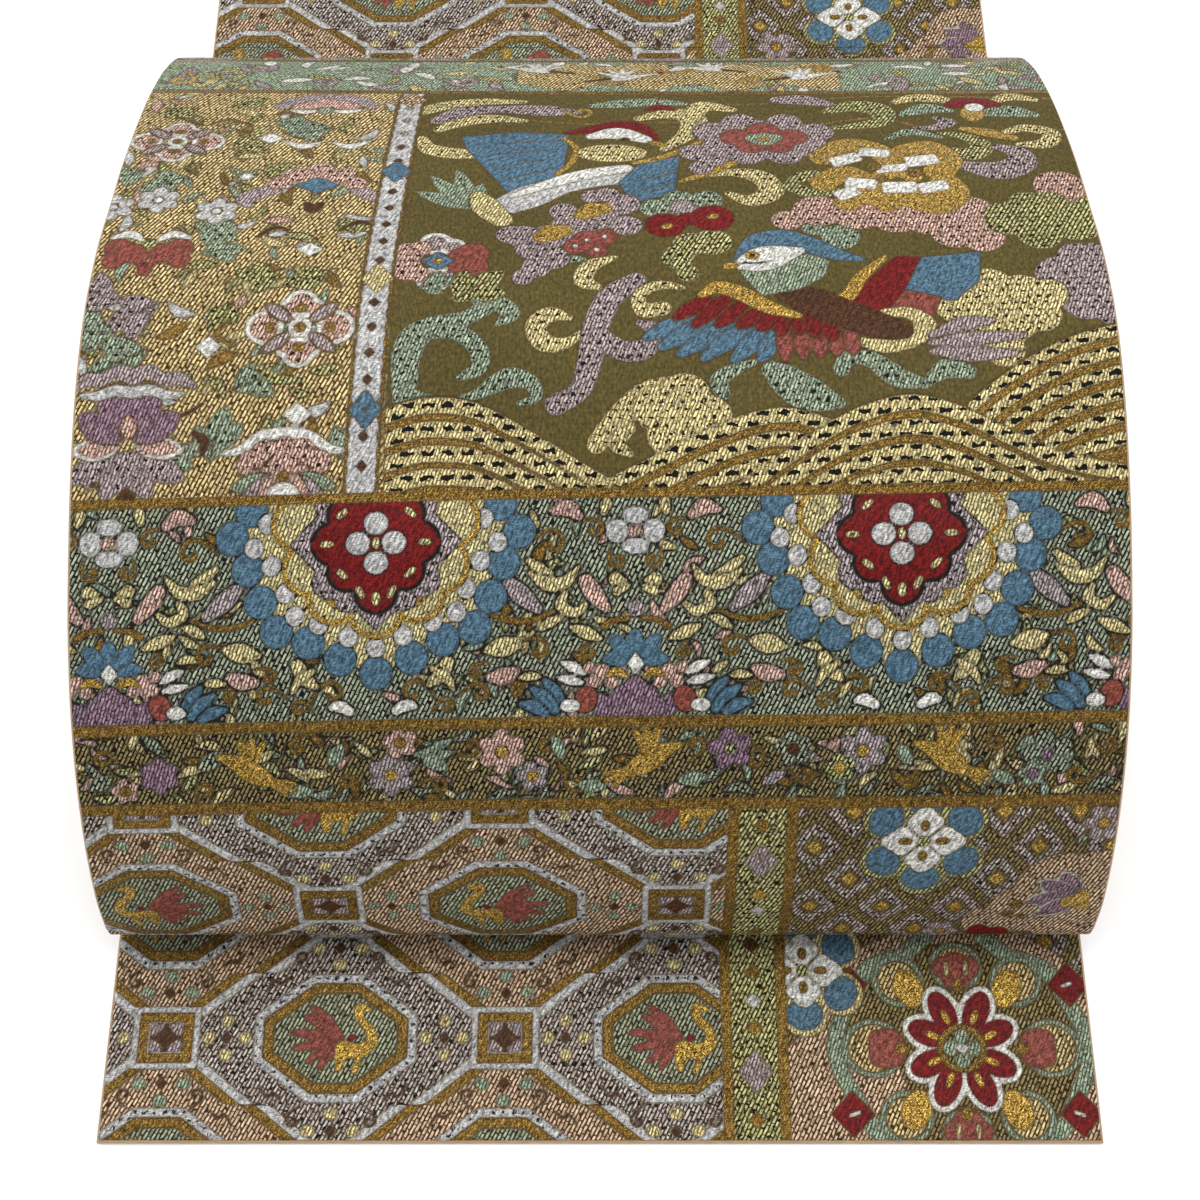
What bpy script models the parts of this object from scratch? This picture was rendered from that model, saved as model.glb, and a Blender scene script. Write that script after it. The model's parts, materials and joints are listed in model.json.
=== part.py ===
"""Obi sash: a double-woven sash laid on a table with its drum arched up, and the rest folded flat.

Axes: +X to the sash's right as worn, -Y towards the loose end of the tail, +Z up. The origin is the
middle of the underside. The cloth runs from the tail end, over the drum, to the folded stack behind.
Every section is worked out in (run, height): run is measured from the tail end along the table.
"""

import math

import bmesh
import bpy

# The cut of the sash.
CLOTH_WIDTH = 0.310
FRONT_WALL = 0.0010
BACK_WALL = 0.0010
SEAM_GAP = 0.0003
BACK_REACH = 0.0008  # how far the back cloth shows past the figured front cloth at its edges
CLOTH_THICKNESS = FRONT_WALL + SEAM_GAP + BACK_WALL

# The tail and the crease where the drum begins.
TAIL_LENGTH = 0.0940
CREASE_RADIUS = 0.0010
CREASE_STEPS = 6

# The folded rest of the sash, a flat stack that the upper stretch lies on.
STACK_NEAR = 0.4120
STACK_LENGTH = 0.3750
STACK_LAYERS = 9
LAYER_PITCH = 0.00105
STACK_HEIGHT = STACK_LAYERS * LAYER_PITCH
STACK_FAR = STACK_NEAR + STACK_LENGTH
LAYER_GROOVE = 0.0004  # depth of the groove between two layers at the stack's sides
FOLD_STEPS = 4

# The upper stretch, on the stack, and the fold that takes it into the stack.
UPPER_NEAR = 0.4320
UPPER_HEIGHT = STACK_HEIGHT + SEAM_GAP + CLOTH_THICKNESS
UPPER_SECTIONS = 10
TURN_INNER_RADIUS = 0.00015
TURN_STEPS = 8

# The drum.
STEPS_PER_ROW = 3
WIDTH_STEPS = 8
DRUM_SAG = 0.0015  # how much lower the middle of the drum's width lies than its two edges
DRUM_HEIGHT = 0.1315

# Sections of the drum's upper surface, from the crease to the upper stretch.
DRUM_SECTIONS = (
    # name, run, height
    ("over the tail", 0.0860, 0.0052),
    ("over the tail", 0.0740, 0.0070),
    ("under the lip", 0.0650, 0.0106),
    ("lip", 0.0609, 0.0175),
    ("above the lip", 0.0622, 0.0265),
    ("lower front", 0.0655, 0.0375),
    ("front", 0.0745, 0.0555),
    ("front", 0.0848, 0.0702),
    ("front", 0.0956, 0.0823),
    ("upper front", 0.1073, 0.0926),
    ("upper front", 0.1200, 0.1013),
    ("shoulder", 0.1330, 0.1085),
    ("shoulder", 0.1591, 0.1197),
    ("near the top", 0.1878, 0.1283),
    ("top", 0.2160, DRUM_HEIGHT),
    ("past the top", 0.2432, 0.1280),
    ("back", 0.2680, 0.1206),
    ("back", 0.2952, 0.1116),
    ("back", 0.3286, 0.0974),
    ("lower back", 0.3526, 0.0845),
    ("lower back", 0.3671, 0.0745),
    ("horizon", 0.3791, 0.0644),
    ("descent", 0.3905, 0.0500),
    ("descent", 0.3990, 0.0350),
    ("foot", 0.4075, 0.0222),
    ("foot", 0.4190, 0.0145),
)

# Reach of each fold past the stack's flat face, and of each layer past its sides, from the table up.
# The stack's top layers turn up into the upper stretch, so the far end has a fold less.
FAR_FOLD_REACH = (0.0016, 0.0006, 0.0020)
NEAR_FOLD_REACH = (0.0009, 0.0019, 0.0004, 0.0014)
SIDE_REACH = (0.0004, -0.0006, 0.0002, -0.0010, -0.0002, 0.0005, -0.0008, 0.0000, -0.0004)

MIDDLE = (STACK_FAR + TURN_INNER_RADIUS + CLOTH_THICKNESS - BACK_REACH) / 2


def clear_scene():
    for thing in list(bpy.data.objects):
        bpy.data.objects.remove(thing, do_unlink=True)


def fabric(name, colour, roughness, metallic):
    material = bpy.data.materials.new(name)
    material.use_nodes = True
    shader = material.node_tree.nodes["Principled BSDF"]
    shader.inputs["Base Color"].default_value = (*colour, 1.0)
    shader.inputs["Roughness"].default_value = roughness
    shader.inputs["Metallic"].default_value = metallic
    return material


def smooth_run(rows, steps):
    """Points of a Catmull-Rom curve through rows, without its first and last row."""
    points = []
    for before, start, end, after in zip(rows, rows[1:], rows[2:], rows[3:]):
        for step in range(steps):
            t = step / steps
            points.append(
                tuple(
                    0.5 * (2 * b + (c - a) * t + (2 * a - 5 * b + 4 * c - d) * t**2 + (3 * b - a - 3 * c + d) * t**3)
                    for a, b, c, d in zip(before, start, end, after)
                )
            )
    return points


def tail_path(start):
    """The tail's upper surface, flat on the table, from start to the crease."""
    sections = 4
    end = TAIL_LENGTH - SEAM_GAP
    return [(start + (end - start) * i / sections, CLOTH_THICKNESS) for i in range(sections + 1)]


def drum_path():
    """The drum's upper surface: round the crease, over the drum and down to the stack."""
    turn = []
    for step in range(CREASE_STEPS + 1):
        angle = math.pi * (step / CREASE_STEPS - 0.5)
        run = TAIL_LENGTH + CREASE_RADIUS * math.cos(angle)
        turn.append((run, CLOTH_THICKNESS + CREASE_RADIUS * (1 + math.sin(angle))))
    rows = [turn[-2], turn[-1]]
    rows += [(run, height) for _, run, height in DRUM_SECTIONS]
    rows += [(UPPER_NEAR - SEAM_GAP, UPPER_HEIGHT), (UPPER_NEAR + 0.01, UPPER_HEIGHT)]
    return turn[:-1] + smooth_run(rows, STEPS_PER_ROW) + [rows[-2]]


def upper_path():
    """The upper stretch's top surface, along the stack and round the fold at its far end."""
    flat = STACK_FAR - UPPER_NEAR
    path = [(UPPER_NEAR + flat * i / UPPER_SECTIONS, UPPER_HEIGHT) for i in range(UPPER_SECTIONS)]
    radius = TURN_INNER_RADIUS + CLOTH_THICKNESS
    for step in range(TURN_STEPS + 1):
        angle = math.pi * (0.5 - step / TURN_STEPS)
        height = UPPER_HEIGHT - radius + radius * math.sin(angle)
        path.append((STACK_FAR + radius * math.cos(angle), height))
    return path


def moved_in(path, depth):
    """The path moved by depth to the hidden side of the cloth, square to itself."""
    moved = []
    for i, (run, height) in enumerate(path):
        before = path[max(i - 1, 0)]
        after = path[min(i + 1, len(path) - 1)]
        along = (after[0] - before[0], after[1] - before[1])
        size = math.hypot(*along)
        moved.append((run + depth * along[1] / size, height - depth * along[0] / size))
    return moved


def sag(across, height):
    """How far the cloth drops, across from -1 to 1 over its width; nothing near the table."""
    share = max(0.0, min(1.0, (height - UPPER_HEIGHT) / (DRUM_HEIGHT - UPPER_HEIGHT)))
    return DRUM_SAG * (1 - across * across) * share


def cloth(name, path, top_depth, wall, half_width, material):
    """A closed wall of cloth below path: its top is top_depth down, and it is wall thick."""
    mesh = bpy.data.meshes.new(name)
    work = bmesh.new()
    sides = []
    for depth in (top_depth, top_depth + wall):
        rows = []
        for (run, height), (_, outer) in zip(moved_in(path, depth), path):
            row = []
            for step in range(WIDTH_STEPS + 1):
                across = 2 * step / WIDTH_STEPS - 1
                place = (half_width * across, run - MIDDLE, height - sag(across, outer))
                row.append(work.verts.new(place))
            rows.append(row)
        sides.append(rows)
    top, under = sides
    last = len(path) - 1
    for i in range(last):
        for j in range(WIDTH_STEPS):
            work.faces.new((top[i][j], top[i][j + 1], top[i + 1][j + 1], top[i + 1][j]))
            work.faces.new((under[i][j], under[i + 1][j], under[i + 1][j + 1], under[i][j + 1]))
        for j in (0, WIDTH_STEPS):
            work.faces.new((top[i][j], top[i + 1][j], under[i + 1][j], under[i][j]))
    for i in (0, last):
        for j in range(WIDTH_STEPS):
            work.faces.new((top[i][j], under[i][j], under[i][j + 1], top[i][j + 1]))
    return finished(name, mesh, work, material)


def finished(name, mesh, work, material):
    bmesh.ops.recalc_face_normals(work, faces=work.faces)
    work.to_mesh(mesh)
    work.free()
    mesh.materials.append(material)
    thing = bpy.data.objects.new(name, mesh)
    bpy.context.scene.collection.objects.link(thing)
    return thing


def fold_reach(height, first, reaches):
    """How far the stack's end reaches out at a height: one round fold for each two layers."""
    fold = (height - first) / (2 * LAYER_PITCH)
    number = min(max(int(fold), 0), len(reaches) - 1)
    if not 0 <= fold <= len(reaches):
        return -SEAM_GAP
    middle = 2 * (fold - number) - 1
    return reaches[number] - LAYER_PITCH * (1 - math.sqrt(max(0.0, 1 - middle * middle)))


def folded_stack(name, material):
    """The hidden layers as one solid: layers show at its sides, and folds at its two ends."""
    mesh = bpy.data.meshes.new(name)
    work = bmesh.new()
    rings = []
    for layer in range(STACK_LAYERS):
        for step in range(FOLD_STEPS + 1):
            share = step / FOLD_STEPS
            if step == FOLD_STEPS and layer < STACK_LAYERS - 1:
                continue
            height = (layer + share) * LAYER_PITCH
            groove = LAYER_GROOVE * (2 * share - 1) ** 4
            half = CLOTH_WIDTH / 2 + SIDE_REACH[layer] - groove
            near = STACK_NEAR - fold_reach(height, LAYER_PITCH, NEAR_FOLD_REACH)
            far = STACK_FAR - SEAM_GAP + fold_reach(height, 0.0, FAR_FOLD_REACH)
            corners = ((-half, near), (half, near), (half, far), (-half, far))
            rings.append([work.verts.new((x, run - MIDDLE, height)) for x, run in corners])
    for low, high in zip(rings, rings[1:]):
        for i in range(len(low)):
            j = (i + 1) % len(low)
            work.faces.new((low[i], low[j], high[j], high[i]))
    work.faces.new(rings[0][::-1])
    work.faces.new(rings[-1])
    return finished(name, mesh, work, material)


def stretch(name, path, back_path, front_material, back_material):
    """The figured front cloth and the plain back cloth of one stretch of the sash."""
    half = CLOTH_WIDTH / 2
    cloth(f"{name}_front", path, 0.0, FRONT_WALL, half, front_material)
    cloth(f"{name}_back", back_path, FRONT_WALL + SEAM_GAP, BACK_WALL, half + BACK_REACH, back_material)


def build():
    clear_scene()
    brocade = fabric("figured brocade", (0.36, 0.28, 0.15), 0.50, 0.25)
    plain = fabric("plain back cloth", (0.45, 0.31, 0.16), 0.65, 0.0)
    stack = fabric("folded layers", (0.42, 0.29, 0.15), 0.65, 0.0)
    stretch("tail", tail_path(0.0), tail_path(-BACK_REACH), brocade, plain)
    stretch("drum", drum_path(), drum_path(), brocade, plain)
    stretch("upper", upper_path(), upper_path(), brocade, plain)
    folded_stack("folded_rest", stack)


build()
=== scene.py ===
"""Figured silk obi sash, laid out with its drum arched up behind the tail.

The front cloth of each stretch is a sheet whose points know their place on the flat cloth. A chart in
millimetres, x across the cloth from its left edge and y along it from the tail's end, says which yarn
lies on top at each point, and the brocade's material weaves those yarns.
"""

import json
import math

import bmesh
import bpy
import numpy as np
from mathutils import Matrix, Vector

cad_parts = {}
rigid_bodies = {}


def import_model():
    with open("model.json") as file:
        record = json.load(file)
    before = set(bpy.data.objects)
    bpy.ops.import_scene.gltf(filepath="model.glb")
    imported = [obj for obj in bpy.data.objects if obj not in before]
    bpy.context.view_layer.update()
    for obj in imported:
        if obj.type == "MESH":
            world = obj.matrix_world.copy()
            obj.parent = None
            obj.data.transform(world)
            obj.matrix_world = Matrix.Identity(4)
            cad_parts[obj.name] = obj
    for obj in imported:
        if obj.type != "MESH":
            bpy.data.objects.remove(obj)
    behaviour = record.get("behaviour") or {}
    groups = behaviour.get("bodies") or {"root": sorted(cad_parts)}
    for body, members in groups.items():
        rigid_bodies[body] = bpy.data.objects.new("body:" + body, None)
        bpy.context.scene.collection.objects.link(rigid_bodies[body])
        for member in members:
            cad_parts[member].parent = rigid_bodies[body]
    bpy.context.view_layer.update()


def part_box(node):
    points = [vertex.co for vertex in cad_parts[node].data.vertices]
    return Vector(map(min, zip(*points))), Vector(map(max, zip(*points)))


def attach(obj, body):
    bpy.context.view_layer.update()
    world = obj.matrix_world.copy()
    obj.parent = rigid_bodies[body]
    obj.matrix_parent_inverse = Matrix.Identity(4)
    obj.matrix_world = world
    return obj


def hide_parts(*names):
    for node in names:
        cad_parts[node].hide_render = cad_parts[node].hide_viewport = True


bl_info = {
    "name": "Obi Sash",
    "version": (1, 0, 0),
    "blender": (4, 5, 0),
    "location": "View3D > Sidebar > Obi",
    "description": "Figured silk sash with its drum, tail and folded rest",
    "category": "Object",
}

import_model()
for node in bpy.context.scene.objects:
    node.select_set(False)

# Places that the frame gives, in metres.
TAIL_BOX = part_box("tail_front")
UPPER_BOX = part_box("upper_front")
TAIL_END = TAIL_BOX[0][1]
HALF_WIDTH = TAIL_BOX[1][0]
CLOTH_THICKNESS = TAIL_BOX[1][2]
UPPER_HEIGHT = UPPER_BOX[1][2]
CLOTH_WIDTH_MM = 2000 * HALF_WIDTH

# The sash's run over the table, as its solids have it, in metres from the tail's end.
TAIL_LENGTH = 0.0940
CREASE_RADIUS = 0.0010
UPPER_NEAR = 0.4320
STACK_FAR = 0.7870
TURN_RADIUS = 0.00015 + CLOTH_THICKNESS
SEAM = 0.0003  # between one stretch's solid and the next
DRUM_SAG = 0.0015
DRUM_HEIGHT = 0.1315
DRUM_SECTIONS = (
    # name, run, height
    ("over the tail", 0.0860, 0.0052),
    ("over the tail", 0.0740, 0.0070),
    ("under the lip", 0.0650, 0.0106),
    ("lip", 0.0609, 0.0175),
    ("above the lip", 0.0622, 0.0265),
    ("lower front", 0.0655, 0.0375),
    ("front", 0.0745, 0.0555),
    ("front", 0.0848, 0.0702),
    ("front", 0.0956, 0.0823),
    ("upper front", 0.1073, 0.0926),
    ("upper front", 0.1200, 0.1013),
    ("shoulder", 0.1330, 0.1085),
    ("shoulder", 0.1591, 0.1197),
    ("near the top", 0.1878, 0.1283),
    ("top", 0.2160, DRUM_HEIGHT),
    ("past the top", 0.2432, 0.1280),
    ("back", 0.2680, 0.1206),
    ("back", 0.2952, 0.1116),
    ("back", 0.3286, 0.0974),
    ("lower back", 0.3526, 0.0845),
    ("lower back", 0.3671, 0.0745),
    ("horizon", 0.3791, 0.0644),
    ("descent", 0.3905, 0.0500),
    ("descent", 0.3990, 0.0350),
    ("foot", 0.4075, 0.0222),
    ("foot", 0.4190, 0.0145),
)

# How far the woven lines droop at the drum's two edges, in mm, and the share of it along the cloth.
LEFT_DROOP = 5.0
RIGHT_DROOP = 2.0
DROOP = ((130, 190, 270, 470), (0.0, 0.55, 1.0, 0.0))

FLAT_TAIL_MM = 100  # up to here the cloth lies on the table, so a trough cannot sink into it
DESCENT_MM = 500  # from here on the cloth has left the top of the drum
COURSE_STEP = 0.5  # spacing of the course's points, in mm

# Soft ridges and troughs of the laid cloth, in millimetres. A trough has a negative height.
SOFT_CREASES = (
    # name, x, y, turn (degrees), half length, half width, height
    ("tail corner lift", 18, 14, 60, 26, 16, 0.5),
    ("tail swell", 190, 40, 4, 90, 20, 0.35),
    ("tail right corner", 296, 20, -50, 22, 14, 0.4),
    ("lip dent left", 70, 150, 3, 46, 6, -0.7),
    ("lip dent right", 236, 146, -4, 60, 7, -0.8),
    ("front pull", 132, 196, 24, 44, 7, -0.5),
    ("front swell", 206, 214, -8, 60, 14, 0.6),
    ("shoulder trough", 84, 262, -12, 60, 10, -0.7),
    ("shoulder ridge", 250, 272, 9, 52, 11, 0.6),
    ("top dip", 176, 352, 5, 70, 16, -0.8),
    ("top ridge left", 46, 366, -16, 48, 10, 0.6),
    ("back pull", 226, 446, 14, 54, 9, -0.6),
    ("back swell", 96, 458, -6, 62, 14, 0.6),
    ("descent fold left", 60, 540, 6, 58, 7, -0.9),
    ("descent fold right", 238, 552, -9, 66, 8, -0.8),
    ("upper swell", 150, 640, 3, 110, 22, 0.5),
    ("upper wrinkle", 236, 712, -22, 52, 8, 0.6),
    ("upper wrinkle", 84, 770, 18, 60, 9, 0.7),
    ("upper far swell", 180, 850, -5, 90, 16, 0.5),
)

# Lines woven across the whole cloth, in millimetres from the tail's end.
LATTICE_TOP = 192.0
NARROW_BAND = (195.8, 218.9)
MEDALLION_BAND = (222.3, 286.9)
MAIN_PANEL = (289.8, 471.0)
CRANE_BAND = (474.0, 511.0)
UPPER_LATTICE = 575.0

# The octagon lattice.
LATTICE_HALF_WIDTH = 53.6
LATTICE_X = 71.4
STRIP = (193.5, 196.6, 211.1, 214.3)

# The flower trellis: the middle of one diamond, and half of each diamond across and along.
TRELLIS_X, TRELLIS_Y = 242.3, 152.3
DIAMOND = (11.25, 12.75)

FAR = 4.0  # millimetres, beyond which a layer says no more
FULL_WIDTH = (-FAR, CLOTH_WIDTH_MM + FAR)
RIGHT_PANEL = (STRIP[3], CLOTH_WIDTH_MM + FAR)
LEFT_PANEL = (-FAR, 95, *MAIN_PANEL)
BIRD_PANEL = (91.5, CLOTH_WIDTH_MM + FAR, *MAIN_PANEL)

YARNS = (
    # name, colour, how it is woven
    ("khaki", (0.260, 0.215, 0.108), "ground"),
    ("beige", (0.640, 0.530, 0.310), "ground"),
    ("olive", (0.090, 0.086, 0.034), "ribbed"),
    ("sage", (0.320, 0.370, 0.305), "ground"),
    ("ash", (0.470, 0.440, 0.480), "ground"),
    ("peach", (0.600, 0.460, 0.370), "ground"),
    ("leaf", (0.480, 0.500, 0.270), "ground"),
    ("cream", (0.700, 0.630, 0.370), "float"),
    ("mint", (0.330, 0.430, 0.365), "float"),
    ("silver", (0.560, 0.570, 0.640), "satin"),
    ("white", (0.780, 0.790, 0.840), "satin"),
    ("lilac", (0.430, 0.370, 0.445), "float"),
    ("purple", (0.300, 0.200, 0.310), "float"),
    ("pink", (0.640, 0.440, 0.430), "float"),
    ("salmon", (0.290, 0.080, 0.068), "satin"),
    ("red", (0.190, 0.009, 0.010), "satin"),
    ("blue", (0.095, 0.190, 0.310), "satin"),
    ("gold", (0.440, 0.265, 0.055), "metal"),
    ("bronze", (0.185, 0.104, 0.028), "twill"),
    ("brown", (0.090, 0.036, 0.014), "satin"),
    ("black", (0.012, 0.010, 0.009), "satin"),
)
YARN_NAMES = tuple(name for name, _, _ in YARNS)
MARKS = ("dots", "dashes", "outline")  # what is woven over the yarns

# The weaves: how their threads slant, in degrees, and length, width and gap of a thread, in mm.
FLOAT_TURN, FLOAT_GAP = -64, 0.34
FINE_FLOAT_TURN, FINE_FLOAT_GAP = -72, 0.26
FLOAT_DRIFT = (1.0, 1.6, 0.0)  # how far the floats sway
RIB = (2.6, 0.42, 0.10)
TWILL_TURN, TWILL = 38, (1.3, 0.55, 0.16)
BACK_TWILL_TURN, BACK_TWILL = 45, (1.5, 0.55, 0.12)
SPECK = (3.1, 2.5, 0.80)
DASH = (6.0, 3.7, 1.2)

# Tones of the binding threads, of the gaps between floats, and of single threads.
BINDING, BLACK_BINDING = (0.062, 0.040, 0.016), (0.010, 0.009, 0.008)
GAP, BLACK_GAP = (0.115, 0.075, 0.035), (0.022, 0.022, 0.025)
RIB_GAP, RIB_GOLD = (0.30, 0.26, 0.18), (0.230, 0.140, 0.035)
TWILL_GAP = (0.20, 0.13, 0.06)
# Painted highlight and painted shade of the metal thread: bright glint spots and dark spots between them, put
# into its colour
PAINTED_GLINT_COLOUR, PAINTED_GLINT_SHADE = (0.950, 0.690, 0.200), (0.105, 0.055, 0.012)
SATIN_SHADE = (0.26, 0.29, 0.33)
SPECK_DARK, DASH_DARK = (0.010, 0.009, 0.007), (0.008, 0.007, 0.006)
# Painted warm light: a warm tint put into the whole front's colour in place of warm lamps
PAINTED_WARM_LIGHT = (1.0, 0.95, 0.80)  # the warm cast of the whole front

# The folded rest, as its solid has it, in metres.
STACK_NEAR = 0.4120
STACK_LAYERS = 9
LAYER_PITCH = 0.00105
LAYER_GROOVE = 0.0004
FAR_FOLD_REACH = (0.0016, 0.0006, 0.0020)
NEAR_FOLD_REACH = (0.0009, 0.0019, 0.0004, 0.0014)
SIDE_REACH = (0.0004, -0.0006, 0.0002, -0.0010, -0.0002, 0.0005, -0.0008, 0.0000, -0.0004)
STACK_CORNER = 0.0012  # radius of its four upright corners
SIDE_POINTS = 40  # points along each side that is longer than LONG_SIDE
LONG_SIDE = 0.05
RIPPLES = ((0.00022, 41, 2.3), (0.00012, 97, 1.1))  # height, pace along the side, shift from layer to layer
BETWEEN_FOLDS = -0.0003  # reach of the stack's end where no fold is

# The back cloth's top below the cloth's surface, and how far it shows past the front, in mm.
BACK_TOP = 0.75
BACK_REACH = 0.8

# Where the drum's front changes its mesh, in mm along the cloth.
LIP_MM = 133.0
DRUM_SPLIT_MM = 288.35
HORIZON_MM = 516.0

PIECE_GAP = 1000 * SEAM  # the same between their visual pieces, in mm

# Mesh steps along the cloth where little of it shows, in mm.
UNDER_LIP_STEP = 2.6
DESCENT_STEP = 2.4
BACK_STEP = 5
DRUM_BACK_STEP = 4
FAR_TURN = 9.0  # how much cloth the upper stretch's far turn takes
FRONT_TURN_STEP = 0.6
BACK_TURN_STEP = 0.8

WORLD_LIGHT = 0.75
LIGHTS = (
    # name, place, turn (degrees), size, power
    ("Overhead softbox", (0.0, 0.25, 1.30), (-12, 0, 0), (1.6, 1.4), 17.0),
    ("Left softbox", (-1.1, -0.2, 0.9), (0, -52, 0), (0.9, 0.9), 4.0),
    ("Right softbox", (1.1, -0.2, 0.9), (0, 52, 0), (0.9, 0.9), 4.0),
)

OUTLINE = 0.42  # width of the dark line that binds a motif
RIM = 0.5  # radius of the front cloth's turned edge
TURNED_EDGE = (-0.85, -0.55, -0.29, -0.06, 0.2)  # places of the points round that edge
EVEN_FROM = 1.2  # from here inwards the points are evenly spaced
CLEARED = len(YARNS) + 2  # layers that a new area covers: all yarns, the dots and the dashes
EASE = 0.25  # half the width over which one yarn gives way to the next

# Rows of octagons: where each is woven, and its number. Rows 1 to 3 are drawn up in the hidden crease.
LATTICE_ROWS = (
    (-53.4, -2), (31.8, 0), (74.4, 1), (152.7, 3), (195.3, 4), (588.4, 13), (631.0, 14), (1057.0, 24)
)
ROW_STEP = 42.6


# ---------------------------------------------------------------- the cloth's course over the table


def smooth_run(rows, steps):
    """Points of a Catmull-Rom curve through rows, without its first and last row."""
    rows = np.asarray(rows, float)
    t = np.linspace(0, 1, steps, endpoint=False)[:, None]
    points = []
    for b, s, e, a in zip(rows, rows[1:], rows[2:], rows[3:]):
        points.append(
            0.5 * (2 * s + (e - b) * t + (2 * b - 5 * s + 4 * e - a) * t**2 + (3 * s - b - 3 * e + a) * t**3)
        )
    return np.vstack(points + [rows[-2]])


def arc(run, height, radius, start, end, steps=16):
    """Points of an arc in the side view, from one angle to another in degrees."""
    angles = np.radians(np.linspace(start, end, steps))
    return np.column_stack((run + radius * np.cos(angles), height + radius * np.sin(angles)))


def cloth_course():
    """Distance along the cloth in mm, run, height and outward direction of its visible surface."""
    crease = arc(TAIL_LENGTH, CLOTH_THICKNESS + CREASE_RADIUS, CREASE_RADIUS, -90, 90)
    rows = [crease[-4], crease[-1]] + [(run, height) for _, run, height in DRUM_SECTIONS]
    rows += [(UPPER_NEAR, UPPER_HEIGHT), (UPPER_NEAR + 0.01, UPPER_HEIGHT)]
    tail = [(0.0, CLOTH_THICKNESS), (TAIL_LENGTH - 0.001, CLOTH_THICKNESS)]
    upper = [(UPPER_NEAR + 0.01, UPPER_HEIGHT), (STACK_FAR - 0.002, UPPER_HEIGHT)]
    turn = arc(STACK_FAR, UPPER_HEIGHT - TURN_RADIUS, TURN_RADIUS, 90, -90, 24)
    points = np.vstack((tail, crease[:-1], smooth_run(rows, 16), upper, turn))
    steps = np.hypot(*np.diff(points, axis=0).T)
    keep = np.concatenate(([True], steps > 1e-6))
    points = points[keep]
    along = 1000 * np.concatenate(([0.0], np.cumsum(np.hypot(*np.diff(points, axis=0).T))))
    even = np.arange(0.0, along[-1], COURSE_STEP)
    run = np.interp(even, along, points[:, 0])
    height = np.interp(even, along, points[:, 1])
    way_run = np.gradient(run)
    way_height = np.gradient(height)
    size = np.hypot(way_run, way_height)
    return even, run, height, -way_height / size, way_run / size


ALONG, RUN, HEIGHT, OUT_RUN, OUT_HEIGHT = cloth_course()
COURSE_END = ALONG[-1]
TAIL_END_MM = 1000 * (TAIL_LENGTH - SEAM)
DESCENT = ALONG > DESCENT_MM
UPPER_START_MM = float(np.interp(UPPER_NEAR - SEAM, RUN[DESCENT], ALONG[DESCENT]))


def skewed(x, y):
    """How far the woven lines lie below their place: they droop towards the drum's two sides."""
    hump = np.interp(y, *DROOP)
    middle = CLOTH_WIDTH_MM / 2
    left = LEFT_DROOP * np.clip((middle - x) / middle, 0, 1.05) ** 1.3
    right = RIGHT_DROOP * np.clip((x - middle) / middle, 0, 1.05)
    return hump * (left - right)


def creased(x, y):
    """Height of the soft ridges and troughs at a place on the cloth, in mm."""
    lift = np.zeros(np.broadcast(x, y).shape)
    for _, at_x, at_y, turn, length, width, height in SOFT_CREASES:
        slant = math.radians(turn)
        u = (x - at_x) * math.cos(slant) + (y - at_y) * math.sin(slant)
        v = (y - at_y) * math.cos(slant) - (x - at_x) * math.sin(slant)
        lift += height * np.exp(-((u / length) ** 2) - (v / width) ** 2)
    flat = (y < FLAT_TAIL_MM) | (y > UPPER_START_MM)
    return np.where(flat, np.maximum(lift, 0), lift)


def placed(x, y, lift):
    """World places, in metres, of points at (x, y) mm on the cloth, lifted off its visible surface."""
    at = np.clip(y - skewed(x, y), 0, COURSE_END)
    run = np.interp(at, ALONG, RUN)
    height = np.interp(at, ALONG, HEIGHT)
    lift = (lift + creased(x, y)) / 1000
    across = x / 1000 - HALF_WIDTH
    share = np.clip((height - UPPER_HEIGHT) / (DRUM_HEIGHT - UPPER_HEIGHT), 0, 1)
    drop = DRUM_SAG * (1 - (across / HALF_WIDTH) ** 2) * share
    out_run = np.interp(at, ALONG, OUT_RUN)
    out_height = np.interp(at, ALONG, OUT_HEIGHT)
    beyond = np.minimum(y, 0) / 1000
    points = np.empty(np.broadcast(x, y).shape + (3,))
    points[..., 0] = across
    points[..., 1] = TAIL_END + run + beyond + lift * out_run
    points[..., 2] = np.maximum(height - drop + lift * out_height, 0.0)
    return points


def turned_edge(distance):
    """Where a point goes that lies a distance inside (+) or past (-) the cloth's edge: inset, drop."""
    arc_length = RIM - distance
    angle = np.clip(arc_length / RIM, 0, math.pi / 2)
    inset = np.where(arc_length > 0, RIM - RIM * np.sin(angle), distance)
    drop = RIM * (1 - np.cos(angle)) + np.maximum(arc_length - RIM * math.pi / 2, 0)
    return inset, drop


# ---------------------------------------------------------------- the weaving chart


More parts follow.
